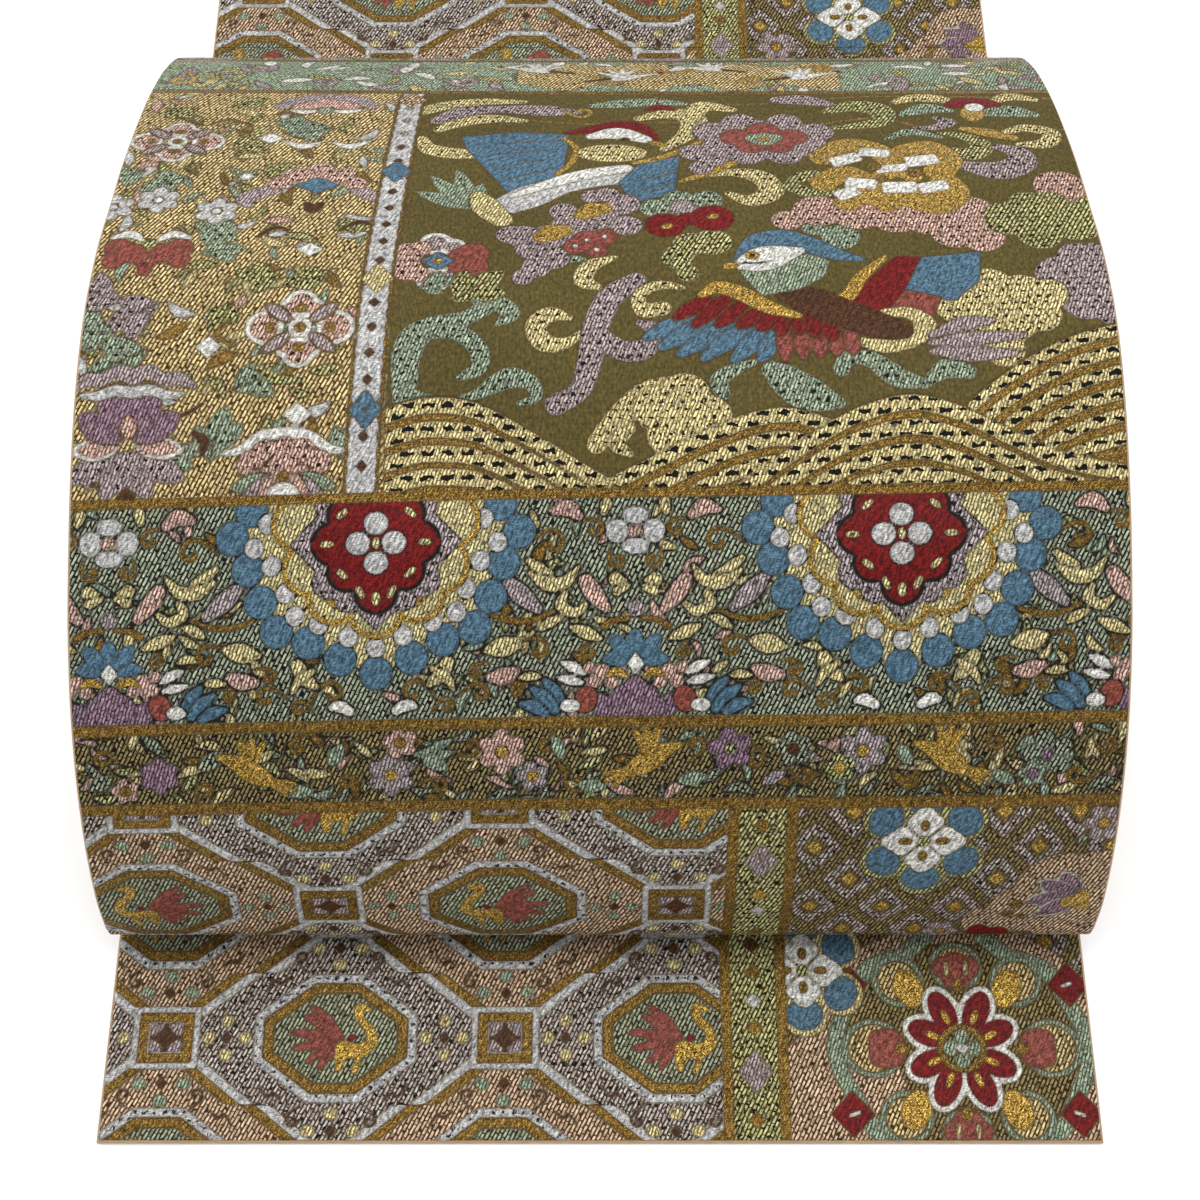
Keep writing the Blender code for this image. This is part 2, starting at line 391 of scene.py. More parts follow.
class Chart:
    """How far each point of a sheet lies outside each yarn's areas, in millimetres."""

    def __init__(self, across, along):
        self.across = across
        self.along = along
        self.layers = np.full((len(YARNS) + len(MARKS), len(along), len(across)), FAR, np.float32)

    def patch(self, x, y, reach, turn=0.0, size=1.0, flip=False, inside=None):
        """A motif's window round (x, y), turned and sized, cut to inside = (left, right, low, high)."""
        left, right, low, high = x - reach, x + reach, y - reach, y + reach
        if inside:
            left, right = max(left, inside[0] - 1), min(right, inside[1] + 1)
            low, high = max(low, inside[2] - 1), min(high, inside[3] + 1)
        cols = slice(*np.searchsorted(self.across, (left, max(left, right))))
        rows = slice(*np.searchsorted(self.along, (low, max(low, high))))
        across = self.across[None, cols]
        along = self.along[rows, None]
        bound = None
        if inside:
            bound = np.maximum(
                np.maximum(inside[0] - across, across - inside[1]), np.maximum(
                    inside[2] - along, along - inside[3]
                )
            )
        slant = math.radians(turn)
        u = ((across - x) * math.cos(slant) + (along - y) * math.sin(slant)) / size
        v = ((along - y) * math.cos(slant) - (across - x) * math.sin(slant)) / size
        return Patch(self, rows, cols, -u if flip else u, v, size, bound, OUTLINE)

    def field(self, left, right, low, high, gap=OUTLINE):
        """A patch over a whole rectangle, in the cloth's own coordinates."""
        cols = slice(*np.searchsorted(self.across, (left - 1, right + 1)))
        rows = slice(*np.searchsorted(self.along, (low - 1, high + 1)))
        across = self.across[None, cols]
        along = self.along[rows, None]
        bound = np.maximum(np.maximum(left - across, across - right), np.maximum(low - along, along - high))
        return Patch(self, rows, cols, across + 0 * along, along + 0 * across, 1.0, bound, gap)


class Patch:
    """Part of a chart in a motif's own coordinates: x to its right, y along the cloth."""

    def __init__(self, chart, rows, cols, x, y, size, bound, gap):
        self.chart, self.rows, self.cols = chart, rows, cols
        self.x, self.y, self.size, self.bound, self.gap = x, y, size, bound, gap

    def with_places(self, x, y):
        return Patch(self.chart, self.rows, self.cols, x, y, self.size, self.bound, self.gap)

    def mirrored(self):
        """The same window with its left half folded onto its right half."""
        return self.with_places(np.abs(self.x), self.y)

    def quartered(self):
        """The same window folded both ways, so that one quarter is drawn four times."""
        return self.with_places(np.abs(self.x), np.abs(self.y))

    def repeated(self, x, y, step_x, step_y):
        """The same window, with places told from the nearest of the points that repeat by the steps."""
        dx = (self.x - x + step_x / 2) % step_x - step_x / 2
        dy = (self.y - y + step_y / 2) % step_y - step_y / 2
        return self.with_places(dx, dy)

    def spokes(self, count, start=0.0):
        """The same window folded round the middle: +x runs out along the nearest of count spokes."""
        sector = 2 * math.pi / count
        angle = (np.arctan2(self.y, self.x) - math.radians(start) + sector / 2) % sector - sector / 2
        radius = np.hypot(self.x, self.y)
        return self.with_places(radius * np.cos(angle), radius * np.sin(angle))

    def lay(self, yarn, away, gap=None, marks=()):
        """Weaves a yarn where away is negative, with a dark gap round it."""
        if not away.size:
            return
        gap = self.gap if gap is None else gap
        away = away * self.size
        reach = away - gap
        if self.bound is not None:
            reach = np.maximum(reach, self.bound)
            away = np.maximum(away, self.bound)
        layers = self.chart.layers
        block = layers[:CLEARED, self.rows, self.cols]
        np.maximum(block, -reach, out=block)
        for own in (YARN_NAMES.index(yarn), *(len(YARNS) + MARKS.index(mark) for mark in marks)):
            target = layers[own, self.rows, self.cols]
            np.minimum(target, away, out=target)

    def mark(self, name):
        """Sets a mark over the whole patch, such as the dark outline of its motifs."""
        layer = self.chart.layers[len(YARNS) + MARKS.index(name), self.rows, self.cols]
        np.minimum(layer, self.bound, out=layer)

    def all(self):
        """Everywhere in the patch."""
        return np.full(np.broadcast(self.x, self.y).shape, -FAR, np.float32)

    # The shapes below give how far each point lies outside them; inside, the distance is negative.

    def disc(self, x, y, radius):
        return np.hypot(self.x - x, self.y - y) - radius

    def own_axes(self, x, y, turn):
        """Places told from (x, y) along axes turned by so many degrees."""
        slant = math.radians(turn)
        dx, dy = self.x - x, self.y - y
        return dx * math.cos(slant) + dy * math.sin(slant), dy * math.cos(slant) - dx * math.sin(slant)

    def oval(self, x, y, across, along, turn=0.0):
        u, v = self.own_axes(x, y, turn)
        k = np.hypot(u / across, v / along)
        return k * (k - 1) / np.maximum(np.hypot(u / across**2, v / along**2), 1e-6)

    def leaf(self, x, y, length, width, turn=0.0):
        """A pointed leaf from its foot at (x, y)."""
        u, v = self.own_axes(x, y, turn)
        half, thick = length / 2, width / 2
        radius = (half * half + thick * thick) / (2 * thick)
        return np.hypot(u - half, np.abs(v) + radius - thick) - radius

    def box(self, x, y, across, along, turn=0.0):
        u, v = self.own_axes(x, y, turn)
        return np.maximum(np.abs(u) - across, np.abs(v) - along)

    def polygon(self, *corners):
        """A convex shape with its corners given anticlockwise."""
        sides = []
        for (x, y), (next_x, next_y) in zip(corners, corners[1:] + corners[:1]):
            length = math.hypot(next_x - x, next_y - y)
            sides.append(((self.x - x) * (next_y - y) - (self.y - y) * (next_x - x)) / length)
        return np.max(sides, axis=0)

    def diamond(self, x, y, across, along):
        return (
            np.abs(self.x - x) / across + np.abs(self.y - y) / along - 1
        ) / math.hypot(1 / across, 1 / along)

    def line(self, points, widths, smooth=4):
        """A tapered stroke through points, with its width at each."""
        rows = np.column_stack((np.asarray(points, float), np.asarray(widths, float) / 2))
        if smooth and len(rows) > 2:
            ends = (2 * rows[0] - rows[1], 2 * rows[-1] - rows[-2])
            rows = smooth_run(np.vstack((ends[0], rows, ends[1])), smooth)
        away = None
        for (ax, ay, aw), (bx, by, bw) in zip(rows, rows[1:]):
            sx, sy = bx - ax, by - ay
            dx, dy = self.x - ax, self.y - ay
            t = np.clip((dx * sx + dy * sy) / max(sx * sx + sy * sy, 1e-9), 0, 1)
            near = np.hypot(dx - t * sx, dy - t * sy) - (aw + t * (bw - aw))
            away = near if away is None else np.minimum(away, near)
        return away

    def curl(self, x, y, radius, width, turn=0.0, turns=1.0, hand=1, tail=0.0):
        """A spiral that winds in to (x, y) from its outer end, which points along turn."""
        points, widths = [], []
        if tail:
            slant = math.radians(turn - hand * 80)
            far = (x + radius * math.cos(math.radians(turn)), y + radius * math.sin(math.radians(turn)))
            points.append((far[0] + tail * math.cos(slant), far[1] + tail * math.sin(slant)))
            widths.append(width * 0.4)
        steps = max(4, int(turns * 7))
        for i in range(steps + 1):
            share = i / steps
            angle = math.radians(turn + hand * 360 * turns * share)
            reach = radius * (1 - 0.78 * share)
            points.append((x + reach * math.cos(angle), y + reach * math.sin(angle)))
            widths.append(width * (0.8 + 0.35 * share))
        return self.line(points, widths, smooth=2)

    def cloud(self, *discs):
        return np.minimum.reduce([self.disc(x, y, radius) for x, y, radius in discs])


def grow(chart, points, reach=3.0, **options):
    """A patch in the cloth's coordinates that holds all the points, with reach to spare."""
    xs = [x for x, _ in points]
    ys = [y for _, y in points]
    left, right = min(xs) - reach, max(xs) + reach
    low, high = min(ys) - reach, max(ys) + reach
    inside = options.pop("inside", None)
    if inside:
        left, right = max(left, inside[0]), min(right, inside[1])
        low, high = max(low, inside[2]), min(high, inside[3])
    return chart.field(left, right, low, high, **options)


def length_and_turn(start, end):
    """How long the line between two points is, and its turn in degrees."""
    run, rise = end[0] - start[0], end[1] - start[1]
    return math.hypot(run, rise), math.degrees(math.atan2(rise, run))


def ribbon(chart, yarn, points, widths, inside=None, gap=OUTLINE, marks=()):
    """A tapered band of one yarn through points of the cloth."""
    patch = grow(chart, points, 2 + max(widths), inside=inside, gap=gap)
    if patch.x.size:
        patch.lay(yarn, patch.line(points, widths), marks=marks)


# ---------------------------------------------------------------- the octagon lattice


def lattice_rows(y):
    """Place along the cloth counted in evenly woven rows, in mm."""
    places, rows = zip(*LATTICE_ROWS)
    return np.interp(y, places, np.array(rows) * ROW_STEP)


def octagon_lattice(chart, low, high):
    """Octagons with birds, framed in bronze and silver, over the left of the cloth."""
    field = chart.field(-FAR, STRIP[0], low, high)
    if not field.x.size:
        return
    even = field.with_places(field.x, lattice_rows(field.y))
    steps = (2 * LATTICE_HALF_WIDTH, 2 * ROW_STEP)
    cool = even.repeated(LATTICE_X, 0, *steps)
    warm = even.repeated(LATTICE_X + LATTICE_HALF_WIDTH, ROW_STEP, *steps)
    side = np.abs(cool.x) / LATTICE_HALF_WIDTH + np.abs(cool.y) / ROW_STEP - 1
    side = side / math.hypot(1 / LATTICE_HALF_WIDTH, 1 / ROW_STEP)
    side = side + np.where(np.abs(cool.y) < ROW_STEP / 2, -1.5, 1.5)
    even.lay("peach", even.all(), gap=0)
    even.lay("bronze", np.abs(side - 0.9) - 1.3, gap=0.4)
    even.lay("silver", np.abs(side + 1.9) - 1.35, gap=0.25)
    even.lay("ash", side + 3.6, gap=0, marks=("dots",))
    cell_ornaments(cool, "cream", ((0, 23.8), (7, 29.2)), (11.8, 26.0), 29.2)
    cell_ornaments(warm, "mint", ((0, 22.8), (7, 28.0)), (11.2, 24.6), 28.2)
    for spread, yarn in ((cool, "cream"), (warm, "mint")):
        tucked = spread.quartered()
        tucked.lay("brown", tucked.diamond(34.4, 0, 1.5, 2.2), gap=0.2)
        for x, y in ((28.6, 0), (40.0, 0), (34.4, 5.4)):
            tucked.lay(yarn, tucked.disc(x, y, 1.8), gap=0.3)
    octagon(cool, hand=1)
    octagon(warm, hand=-1)
    lattice_square(even.repeated(LATTICE_X + LATTICE_HALF_WIDTH, 0, *steps))
    lattice_square(even.repeated(LATTICE_X, ROW_STEP, *steps))


def cell_ornaments(cell, yarn, seeds, scroll, brown):
    """Seeds, a brown diamond and a pair of scrolls above and below an octagon."""
    near = cell.quartered()
    near.lay("brown", near.diamond(0, brown, 1.7, 2.1), gap=0.2)
    for x, y in seeds:
        near.lay(yarn, near.oval(x, y, 2.1, 1.7), gap=0.3)
    near.lay("brown", near.curl(*scroll, 2.5, 0.75, turn=-60, turns=0.9, tail=4.5), gap=0.15)
    near.lay(
        "brown",
        near.line(((16, 19.5), (18.5, 17.5), (20.5, 18.5), (23, 15)), (0.6, 0.9, 0.8, 0.5)),
        gap=0.1,
    )


def octagon(cell, hand):
    """An octagon in bronze and sage with a salmon-winged bird that faces along hand."""
    across, along = np.abs(cell.x), np.abs(cell.y)
    edge = np.maximum(np.maximum(across - 22.5, along - 17.3), (11 * across + 15 * along) / 18.6 - 18.1)
    cell.lay("silver", edge - 3.0, gap=0.3, marks=("dots",))
    cell.lay("bronze", edge, gap=0.5)
    cell.lay("sage", edge + 3.2, gap=0.5)
    bird = cell.with_places(cell.x * hand, cell.y)
    for x, y, width in (
        (-13.6, 1.6, 3.0), (-12.5, -3.4, 3.0), (-9.4, 6.8, 2.8), (-8.2, -7.4, 2.8), (-4.4, -9.4, 2.6)
    ):
        bird.lay(
            "salmon", bird.line(((1.5, -1.5), (x * 0.5, y * 0.6), (x, y)), (2.2, width, 1.6), 2), gap=0.3
        )
    bird.lay("salmon", bird.line(((1.5, 0), (-3, 6), (-8, 9.8)), (2.2, 3.0, 1.4), 2), gap=0.3)
    body = (
        (1.5, -9.5),
        (2.5, -3.5),
        (7.0, -4.5),
        (11.5, -1.5),
        (10.5, 3.0),
        (7.4, 6.0),
        (7.2, 9.6),
        (10.6, 9.0),
    )
    bird.lay("gold", bird.line(body, (2.0, 4.6, 4.4, 3.4, 2.6, 2.4, 3.0, 1.0), 2), gap=0.25)
    bird.lay("red", bird.oval(5.0, 0.0, 1.4, 1.0, 30), gap=0.0)
    bird.lay("gold", bird.line(((8.0, -6.0), (6.5, -10.5)), (1.2, 1.6), 0), gap=0.2)


def lattice_square(cell):
    """The small framed square where four octagons meet."""
    cell.lay("silver", cell.box(0, 0, 10.5, 9.8), gap=0.3)
    cell.lay("bronze", cell.box(0, 0, 8.4, 7.8), gap=0.35)
    cell.lay("silver", cell.box(0, 0, 5.6, 5.1), gap=0.0)
    cell.lay("lilac", cell.box(0, 0, 4.9, 4.4), gap=0.3)
    cell.lay("brown", cell.diamond(0, 0, 3.9, 3.7), gap=0.2)
    near = cell.quartered()
    near.lay("brown", np.minimum(near.disc(0, 4.0, 0.7), near.disc(4.2, 0, 0.7)), gap=0)


def four_diamonds(patch, yarn, across, along, length):
    """A small flower of four diamonds, two beside its middle and two above and below it."""
    for dx, dy in ((0, along), (0, -along), (across, 0), (-across, 0)):
        patch.lay(yarn, patch.diamond(dx, dy, 2.4, length), gap=0.25)


def divider_strip(chart, low, high, seeds):
    """The narrow strip beside the lattice: pale ground, bronze borders and a chain of seeds."""
    field = chart.field(STRIP[0], STRIP[3], low, high)
    field.lay("bronze", field.all(), gap=0)
    inner = chart.field(STRIP[1], STRIP[2], low, high)
    inner.lay("leaf", inner.all(), gap=0, marks=("dots",))
    middle = (STRIP[1] + STRIP[2]) / 2
    for kind, y in seeds:
        seed = chart.patch(middle, y, 9, inside=(STRIP[1], STRIP[2], low, high))
        if kind == "four":
            four_diamonds(seed, "lilac", 2.7, 3.6, 3.2)
        else:
            seed.lay(kind, seed.diamond(0, 0, 2.7, 2.4), gap=0.2)


# ---------------------------------------------------------------- flowers and other motifs


def round_flower(patch, yarn, count, reach, petal, heart, start=90, rim=None):
    """A flower of round petals round a heart, with a rim of another yarn where it has one."""
    spoke = patch.spokes(count, start)
    if rim:
        spoke.lay(rim, spoke.oval(reach, 0, petal + 0.9, petal * 0.95 + 0.7), gap=OUTLINE)
    spoke.lay(yarn, spoke.oval(reach, 0, petal, petal * 0.85), gap=0.1 if rim else OUTLINE)
    patch.lay(heart[0], patch.disc(0, 0, heart[1]), gap=0.25)


def eight_part_flower(chart, x, y, size, inside):
    """Four scalloped peach lobes edged in white, with four lilac leaves between them."""
    patch = chart.patch(x, y, 19 * size, size=size, inside=inside)
    for angle, reach, wide in ((0, 10.2, 5.2), (90, 8.2, 4.6), (180, 10.2, 5.2), (270, 8.2, 4.6)):
        lobe = patch.with_places(*patch.own_axes(0, 0, angle))
        scallop = lobe.cloud((reach, 0, wide), (reach - 2, 3.6, 3.2), (reach - 2, -3.6, 3.2))
        lobe.lay("white", scallop - 0.2, gap=0.3)
        lobe.lay("pink", scallop + 1.2, gap=0, marks=("dots",))
        lobe.lay("bronze", lobe.oval(reach - 1.6, 0, 1.2, 1.8), gap=0.2)
    for angle in (38, 142, 218, 322):
        slant = math.radians(angle)
        for yarn, foot, length, width in (("bronze", 2.6, 11.4, 4.6), ("lilac", 3.0, 10.4, 3.4)):
            leaf = patch.leaf(foot * math.cos(slant), foot * math.sin(slant), length, width, angle)
            patch.lay(yarn, leaf, gap=0.1)
    patch.lay("white", patch.disc(0, 0, 3.3), gap=0.3)
    patch.lay("bronze", patch.disc(0, 0, 1.7), gap=0.15)


def lobed_leaf(chart, x, y, length, turn, inside, yarn="mint", flip=False):
    """A broad leaf with three lobes on one side and a dark rib."""
    patch = chart.patch(x, y, length + 2, turn=turn, inside=inside, flip=flip)
    blade = np.minimum(
        patch.leaf(0, 0, length, length * 0.42), patch.leaf(length * 0.1, 0, length * 0.6, length * 0.3, 42)
    )
    blade = np.minimum(blade, patch.leaf(length * 0.25, 0, length * 0.62, length * 0.3, -36))
    patch.lay(yarn, blade, marks=("dots",))
    patch.lay(
        "brown", patch.line(((0.5, 0), (length * 0.45, 0.3), (length * 0.8, 0)), (0.5, 0.45, 0.3)), gap=0
    )


def scattered_leaves(chart, inside, seed, count, yarns, lengths, gap=0.5):
    """Small bent leaves strewn over a ground, each edged by the yarn beneath."""
    random = np.random.default_rng(seed)
    for _ in range(count):
        x, y = random.uniform(inside[0], inside[1]), random.uniform(inside[2], inside[3])
        turn, length = random.uniform(0, 360), random.uniform(*lengths)
        yarn, bend = yarns[random.integers(len(yarns))], random.uniform(-0.22, 0.22)
        patch = chart.patch(x, y, length, turn=turn, inside=inside)
        if patch.x.size:
            points = ((-length / 2, 0), (0, bend * length), (length / 2, 0))
            patch.lay(yarn, patch.line(points, (0.7, length * 0.36, 0.7), 3), gap=gap)


# ---------------------------------------------------------------- the flower trellis beside the lattice


def flower_trellis(chart):
    """The right panel under the narrow band and on the upper stretch: a trellis with large flowers."""
    for low, high in ((-FAR, LATTICE_TOP), (UPPER_LATTICE, COURSE_END + FAR)):
        field = chart.field(*RIGHT_PANEL, low, high)
        field.lay("khaki", field.all(), gap=0)
        for half in (0, 1):
            cell = field.repeated(
                TRELLIS_X + DIAMOND[0] * half, TRELLIS_Y + DIAMOND[1] * half, 2 * DIAMOND[0], 2 * DIAMOND[1]
            )
            edge = cell.diamond(0, 0, *DIAMOND)
            cell.lay("ash", edge + 2.2, gap=0.5, marks=("dots",))
            cell.lay("khaki", edge + 5.4, gap=0.3)
            cell.lay("lilac", edge + 6.6, gap=0.3)
            cell.lay("gold", cell.diamond(0, 0, 2.4, 2.7), gap=0.3)
    inside = (*RIGHT_PANEL, -FAR, LATTICE_TOP)
    tail_rosette(chart, 269.2, 28.4, (*RIGHT_PANEL, -FAR, 88))
    snow_flower(chart, 220.0, 53.6, inside, edge="cream")
    snow_flower(chart, 252.6, 179.9, inside, edge="leaf")
    corner_lotus(chart, 301.0, 158.0, inside)
    small_blooms(chart, inside, ((233, 118, 0.9), (284, 112, 1.0), (262, 138, 0.7), (306, 186, 0.8)))
    upper = (*RIGHT_PANEL, UPPER_LATTICE, COURSE_END + FAR)
    for x, y in (
        (256.0, 616.0), (300.0, 668.0), (236.0, 712.0), (282.0, 780.0), (240.0, 848.0), (296.0, 905.0)
    ):
        snow_flower(chart, x, y, upper, edge="leaf")
    tail_rosette(chart, 262.0, 902.0, upper)
    corner_lotus(chart, 303.0, 720.0, upper)
    corner_lotus(chart, 306.0, 604.0, upper)
    small_blooms(
        chart, upper, ((226, 600, 1.0), (226, 660, 0.9), (278, 700, 1.0), (230, 790, 1.0), (300, 840, 0.9))
    )


def snow_flower(chart, x, y, inside, edge):
    """Six blue petals round a white quatrefoil whose lobes have bronze hearts."""
    patch = chart.patch(x, y, 24, inside=inside)
    petals = ((0, 14.4), (0, -14.4), (11.8, 7.6), (-11.8, 7.6), (11.8, -7.6), (-11.8, -7.6))
    patch.lay(edge, np.minimum(patch.cloud(*((px, py, 7.0) for px, py in petals)), patch.disc(0, 0, 9.0)))
    for px, py in petals:
        turn = math.degrees(math.atan2(py, px))
        patch.lay("blue", patch.oval(px, py, 4.9, 5.7, turn), gap=0.3)
    near = patch.quartered()
    lobes = near.cloud(
        (8.4, 0, 3.6), (6.6, 2.6, 2.6), (0, 8.6, 3.4), (2.8, 6.8, 2.6), (3, 3, 3.4), (11.0, 0, 1.8)
    )
    near.lay("white", lobes, gap=0.3)
    near.lay("khaki", near.line(((1.4, 1.4), (5.4, 5.4)), (0.7, 0.5), 0), gap=0.1)
    for heart in (near.oval(5.6, 0, 2.0, 1.1), near.oval(0, 5.6, 1.2, 1.8)):
        near.lay("bronze", heart, gap=0.3)
    patch.lay("leaf", patch.disc(0, 0, 1.8), gap=0.3)


def tail_rosette(chart, x, y, inside):
    """Eight red petals round a jewelled heart, with salmon lobes, gold tufts and mint ribbons."""
    patch = chart.patch(x, y, 58, inside=inside)
    patch.lay("peach", patch.oval(0, -2, 50, 43), gap=0.4)
    patch.lay("khaki", patch.oval(0, -1, 39, 35), gap=0.4)
    patch.lay("peach", patch.oval(-40, -16, 22, 22), gap=0)
    near = patch.quartered()
    for points in (
        ((20, 30), (29, 25), (33.5, 17), (38.5, 7.5), (40.5, 0)), ((9, 36), (14, 32.5), (18, 29), (21, 29))
    ):
        near.lay("mint", near.line(points, (4.0, 5.0, 4.6, 4.6, 4.2)[: len(points)]), gap=0.4)
    near.lay("red", np.maximum(near.diamond(35.5, 20.5, 6.5, 7.0), 28.6 - near.x), gap=0.4)
    near.lay("white", near.line(((33.6, 20), (36.2, 21)), (1.0, 1.0), 0), gap=0.2)
    for x, y, reach, turn in ((28.0, 0, 9.6, 0), (18.8, 21.6, 8.4, 40), (0, 26.6, 8.2, 0)):
        near.lay("mint", near.oval(x, y, reach, reach * 0.94, turn), gap=0.5)
        near.lay("beige", near.oval(x, y, reach - 2.0, reach - 2.3, turn), gap=0.6)
    near.lay("khaki", near.line(((31, 5), (34.5, 0)), (0.8, 0.8), 0), gap=0)
    near.lay("salmon", np.minimum(near.oval(23.6, 0, 5.6, 6.2), near.oval(26.2, 3.0, 3.0, 2.8)), gap=0.4)
    near.lay("salmon", np.minimum(near.oval(0, 25.0, 5.4, 6.0), near.oval(4.4, 26.2, 3.0, 3.4)), gap=0.4)
    near.lay("cream", near.line(((3.0, 24.2), (3.2, 27.8)), (1.3, 1.0), 0), gap=0.3)
    near.lay("gold", near.oval(15.6, 19.2, 4.4, 6.2, -24), gap=0.4)
    near.lay("bronze", near.oval(0, 20.6, 1.6, 2.2), gap=0.2)
    near.lay("bronze", near.oval(19.0, 0, 2.2, 1.6), gap=0.2)
    spans = ((24.5, 17.6), (65.5, 19.4))
    for grow_by, yarn, gap in ((1.7, "white", 0.35), (0.0, "red", 0.05)):
        for angle, reach in spans:
            slant = math.radians(angle)
            middle = reach * 0.66
            near.lay(
                yarn,
                near.oval(
                    middle * math.cos(slant),
                    middle * math.sin(slant),
                    reach * 0.36 + grow_by,
                    3.9 + grow_by,
                    angle,
                ),
                gap=gap,
            )
    for angle, reach in spans:
        slant = math.radians(angle)
        seed = near.oval(reach * 0.56 * math.cos(slant), reach * 0.56 * math.sin(slant), 2.4, 0.95, angle)
        near.lay("gold", seed, gap=0.15)
    patch.lay("bronze", patch.disc(0, 0, 7.5), gap=0.35)
    patch.lay("khaki", patch.disc(0, 0, 5.9), gap=0.15)
    near.lay("mint", near.cloud((3.5, 0, 2.3), (0, 3.9, 2.2)), gap=0.3)
    near.lay("white", near.diamond(0, 0, 2.2, 1.7), gap=0.2)
    corner = chart.patch(x - 43, y - 18, 16, inside=inside)
    corner.lay(
        "bronze",
        corner.line(((-3, -8), (1, -5), (3.5, 0), (1, 4), (-3, 5.5)), (3.4, 2.6, 3.0, 3.4, 1.2)),
        gap=0.2,
    )
    corner.lay("bronze", corner.line(((-6, -9.5), (3, -9.0), (10, -6.8)), (1.4, 2.4, 1.0)), gap=0.2)
    corner.lay("cream", corner.line(((-4, -7.5), (0, -7.3)), (1.4, 1.0), 0), gap=0.2)


def corner_lotus(chart, x, y, inside):
    """A lotus seen from the side at the cloth's edge, on a pink cloud."""
    patch = chart.patch(x, y, 34, inside=inside)
    patch.lay("peach", patch.cloud((-4, 2, 15), (-14, -8, 12), (-24, -14, 9), (2, -14, 14), (6, 8, 10)))
    patch.lay("bronze", patch.cloud((-17.5, -4.5, 2.0), (-19.5, -9.5, 1.8), (-15.0, -10.8, 1.2)), gap=0.2)
    for turn, length in ((118, 12), (150, 14), (184, 15), (216, 14)):
        patch.lay("white", patch.leaf(1.0, -1.5, length + 1.0, 7.4, turn), gap=0.3)
        patch.lay("purple", patch.leaf(1.0, -1.5, length, 5.8, turn), gap=0.15)
    patch.lay("gold", patch.cloud((-1.5, -3.5, 2.4), (2.2, -1.0, 2.4), (3.0, -5.0, 2.2)), gap=0.25)
    patch.lay("red", patch.cloud((-27, -20, 3.6), (-21, -21, 3.4)), gap=0.3)


def small_blooms(chart, inside, places):
    """Six-petalled mint and lilac blooms with gold hearts."""
    for x, y, size in places:
        bloom = chart.patch(x, y, 12 * size, size=size, inside=inside)
        round_flower(bloom, "lilac", 6, 5.2, 2.7, ("gold", 1.9), start=60)
        leaves = bloom.mirrored()
        leaves.lay("sage", leaves.leaf(5.0, -5.0, 6.0, 2.8, -40))


def divider_strips(chart):
    """The strips beside the lattice, each with its own order of seeds."""
    tail = (("bronze", 6), ("four", 21), ("bronze", 35), ("silver", 43.5), ("bronze", 53), ("brown", 62))
    drum = (("bronze", 138), ("silver", 150), ("gold", 158), ("four", 172.5), ("bronze", 186))
    hidden = (("four", 78), ("bronze", 92), ("silver", 104), ("bronze", 116), ("four", 127))
    divider_strip(chart, -FAR, LATTICE_TOP, tail + hidden + drum)
    upper = []
    for start in range(10):
        y = UPPER_LATTICE + 26 + 41 * start
        upper += [("four", y), ("bronze", y + 13.5), ("silver", y + 21), ("bronze", y + 29)]
    divider_strip(chart, UPPER_LATTICE, COURSE_END + FAR, upper)


# ---------------------------------------------------------------- the narrow band


def narrow_band(chart):
    """A low band of scattered flowers, leaves and gold birds on a dashed ground."""
    inside = (*FULL_WIDTH, *NARROW_BAND)
    band = chart.field(*inside)
    band.lay("khaki", band.all(), gap=0)
    band.mark("outline")
    scattered_leaves(
        chart, inside, 5, 190, ("sage", "mint", "beige", "leaf", "pink", "cream", "bronze"), (4.5, 9.0), 0.7
    )
    for x, y, radius, turn, hand in NARROW_SCROLLS:
        patch = chart.patch(x, y, 13, inside=inside)
        patch.lay("bronze", patch.curl(0, 0, radius, 1.2, turn, 0.85, hand, tail=radius * 1.3), gap=0.25)
    for x, y, length, width, turn, yarn in NARROW_LEAVES:
        patch = chart.patch(x, y, length + 2, inside=inside)
        patch.lay(yarn, patch.leaf(0, 0, length, width, turn), gap=0.4)
    for x, y, petals, reach, petal, yarn, heart in NARROW_FLOWERS:
        patch = chart.patch(x, y, reach + petal + 3, inside=inside)
        round_flower(patch, yarn, petals, reach, petal, (heart, 1.7), start=30)
    for x, y, flip in ((52, 206.6, False), (169, 208.6, True), (258, 208.2, False)):
        gold_bird(chart, x, y, flip, inside)


NARROW_SCROLLS = (
    # x, y, radius, turn (degrees), hand
    (8, 211, 3.4, 20, 1),
    (38, 200, 3.2, 200, -1),
    (66, 214, 3.0, 100, 1),
    (80, 202, 3.4, 340, 1),
    (107, 200.5, 3.2, 120, -1),
    (117, 213.5, 3.4, 250, 1),
    (139, 214, 3.0, 30, -1),
    (148, 201, 3.6, 160, 1),
    (183, 213.4, 3.2, 300, 1),
    (200.5, 208.5, 3.6, 60, -1),
    (216, 203.5, 3.4, 200, 1),
    (246, 201.0, 3.0, 20, -1),
    (272, 213.5, 3.2, 140, 1),
    (296, 203, 3.6, 320, -1),
    (305, 212, 3.2, 200, 1),
)

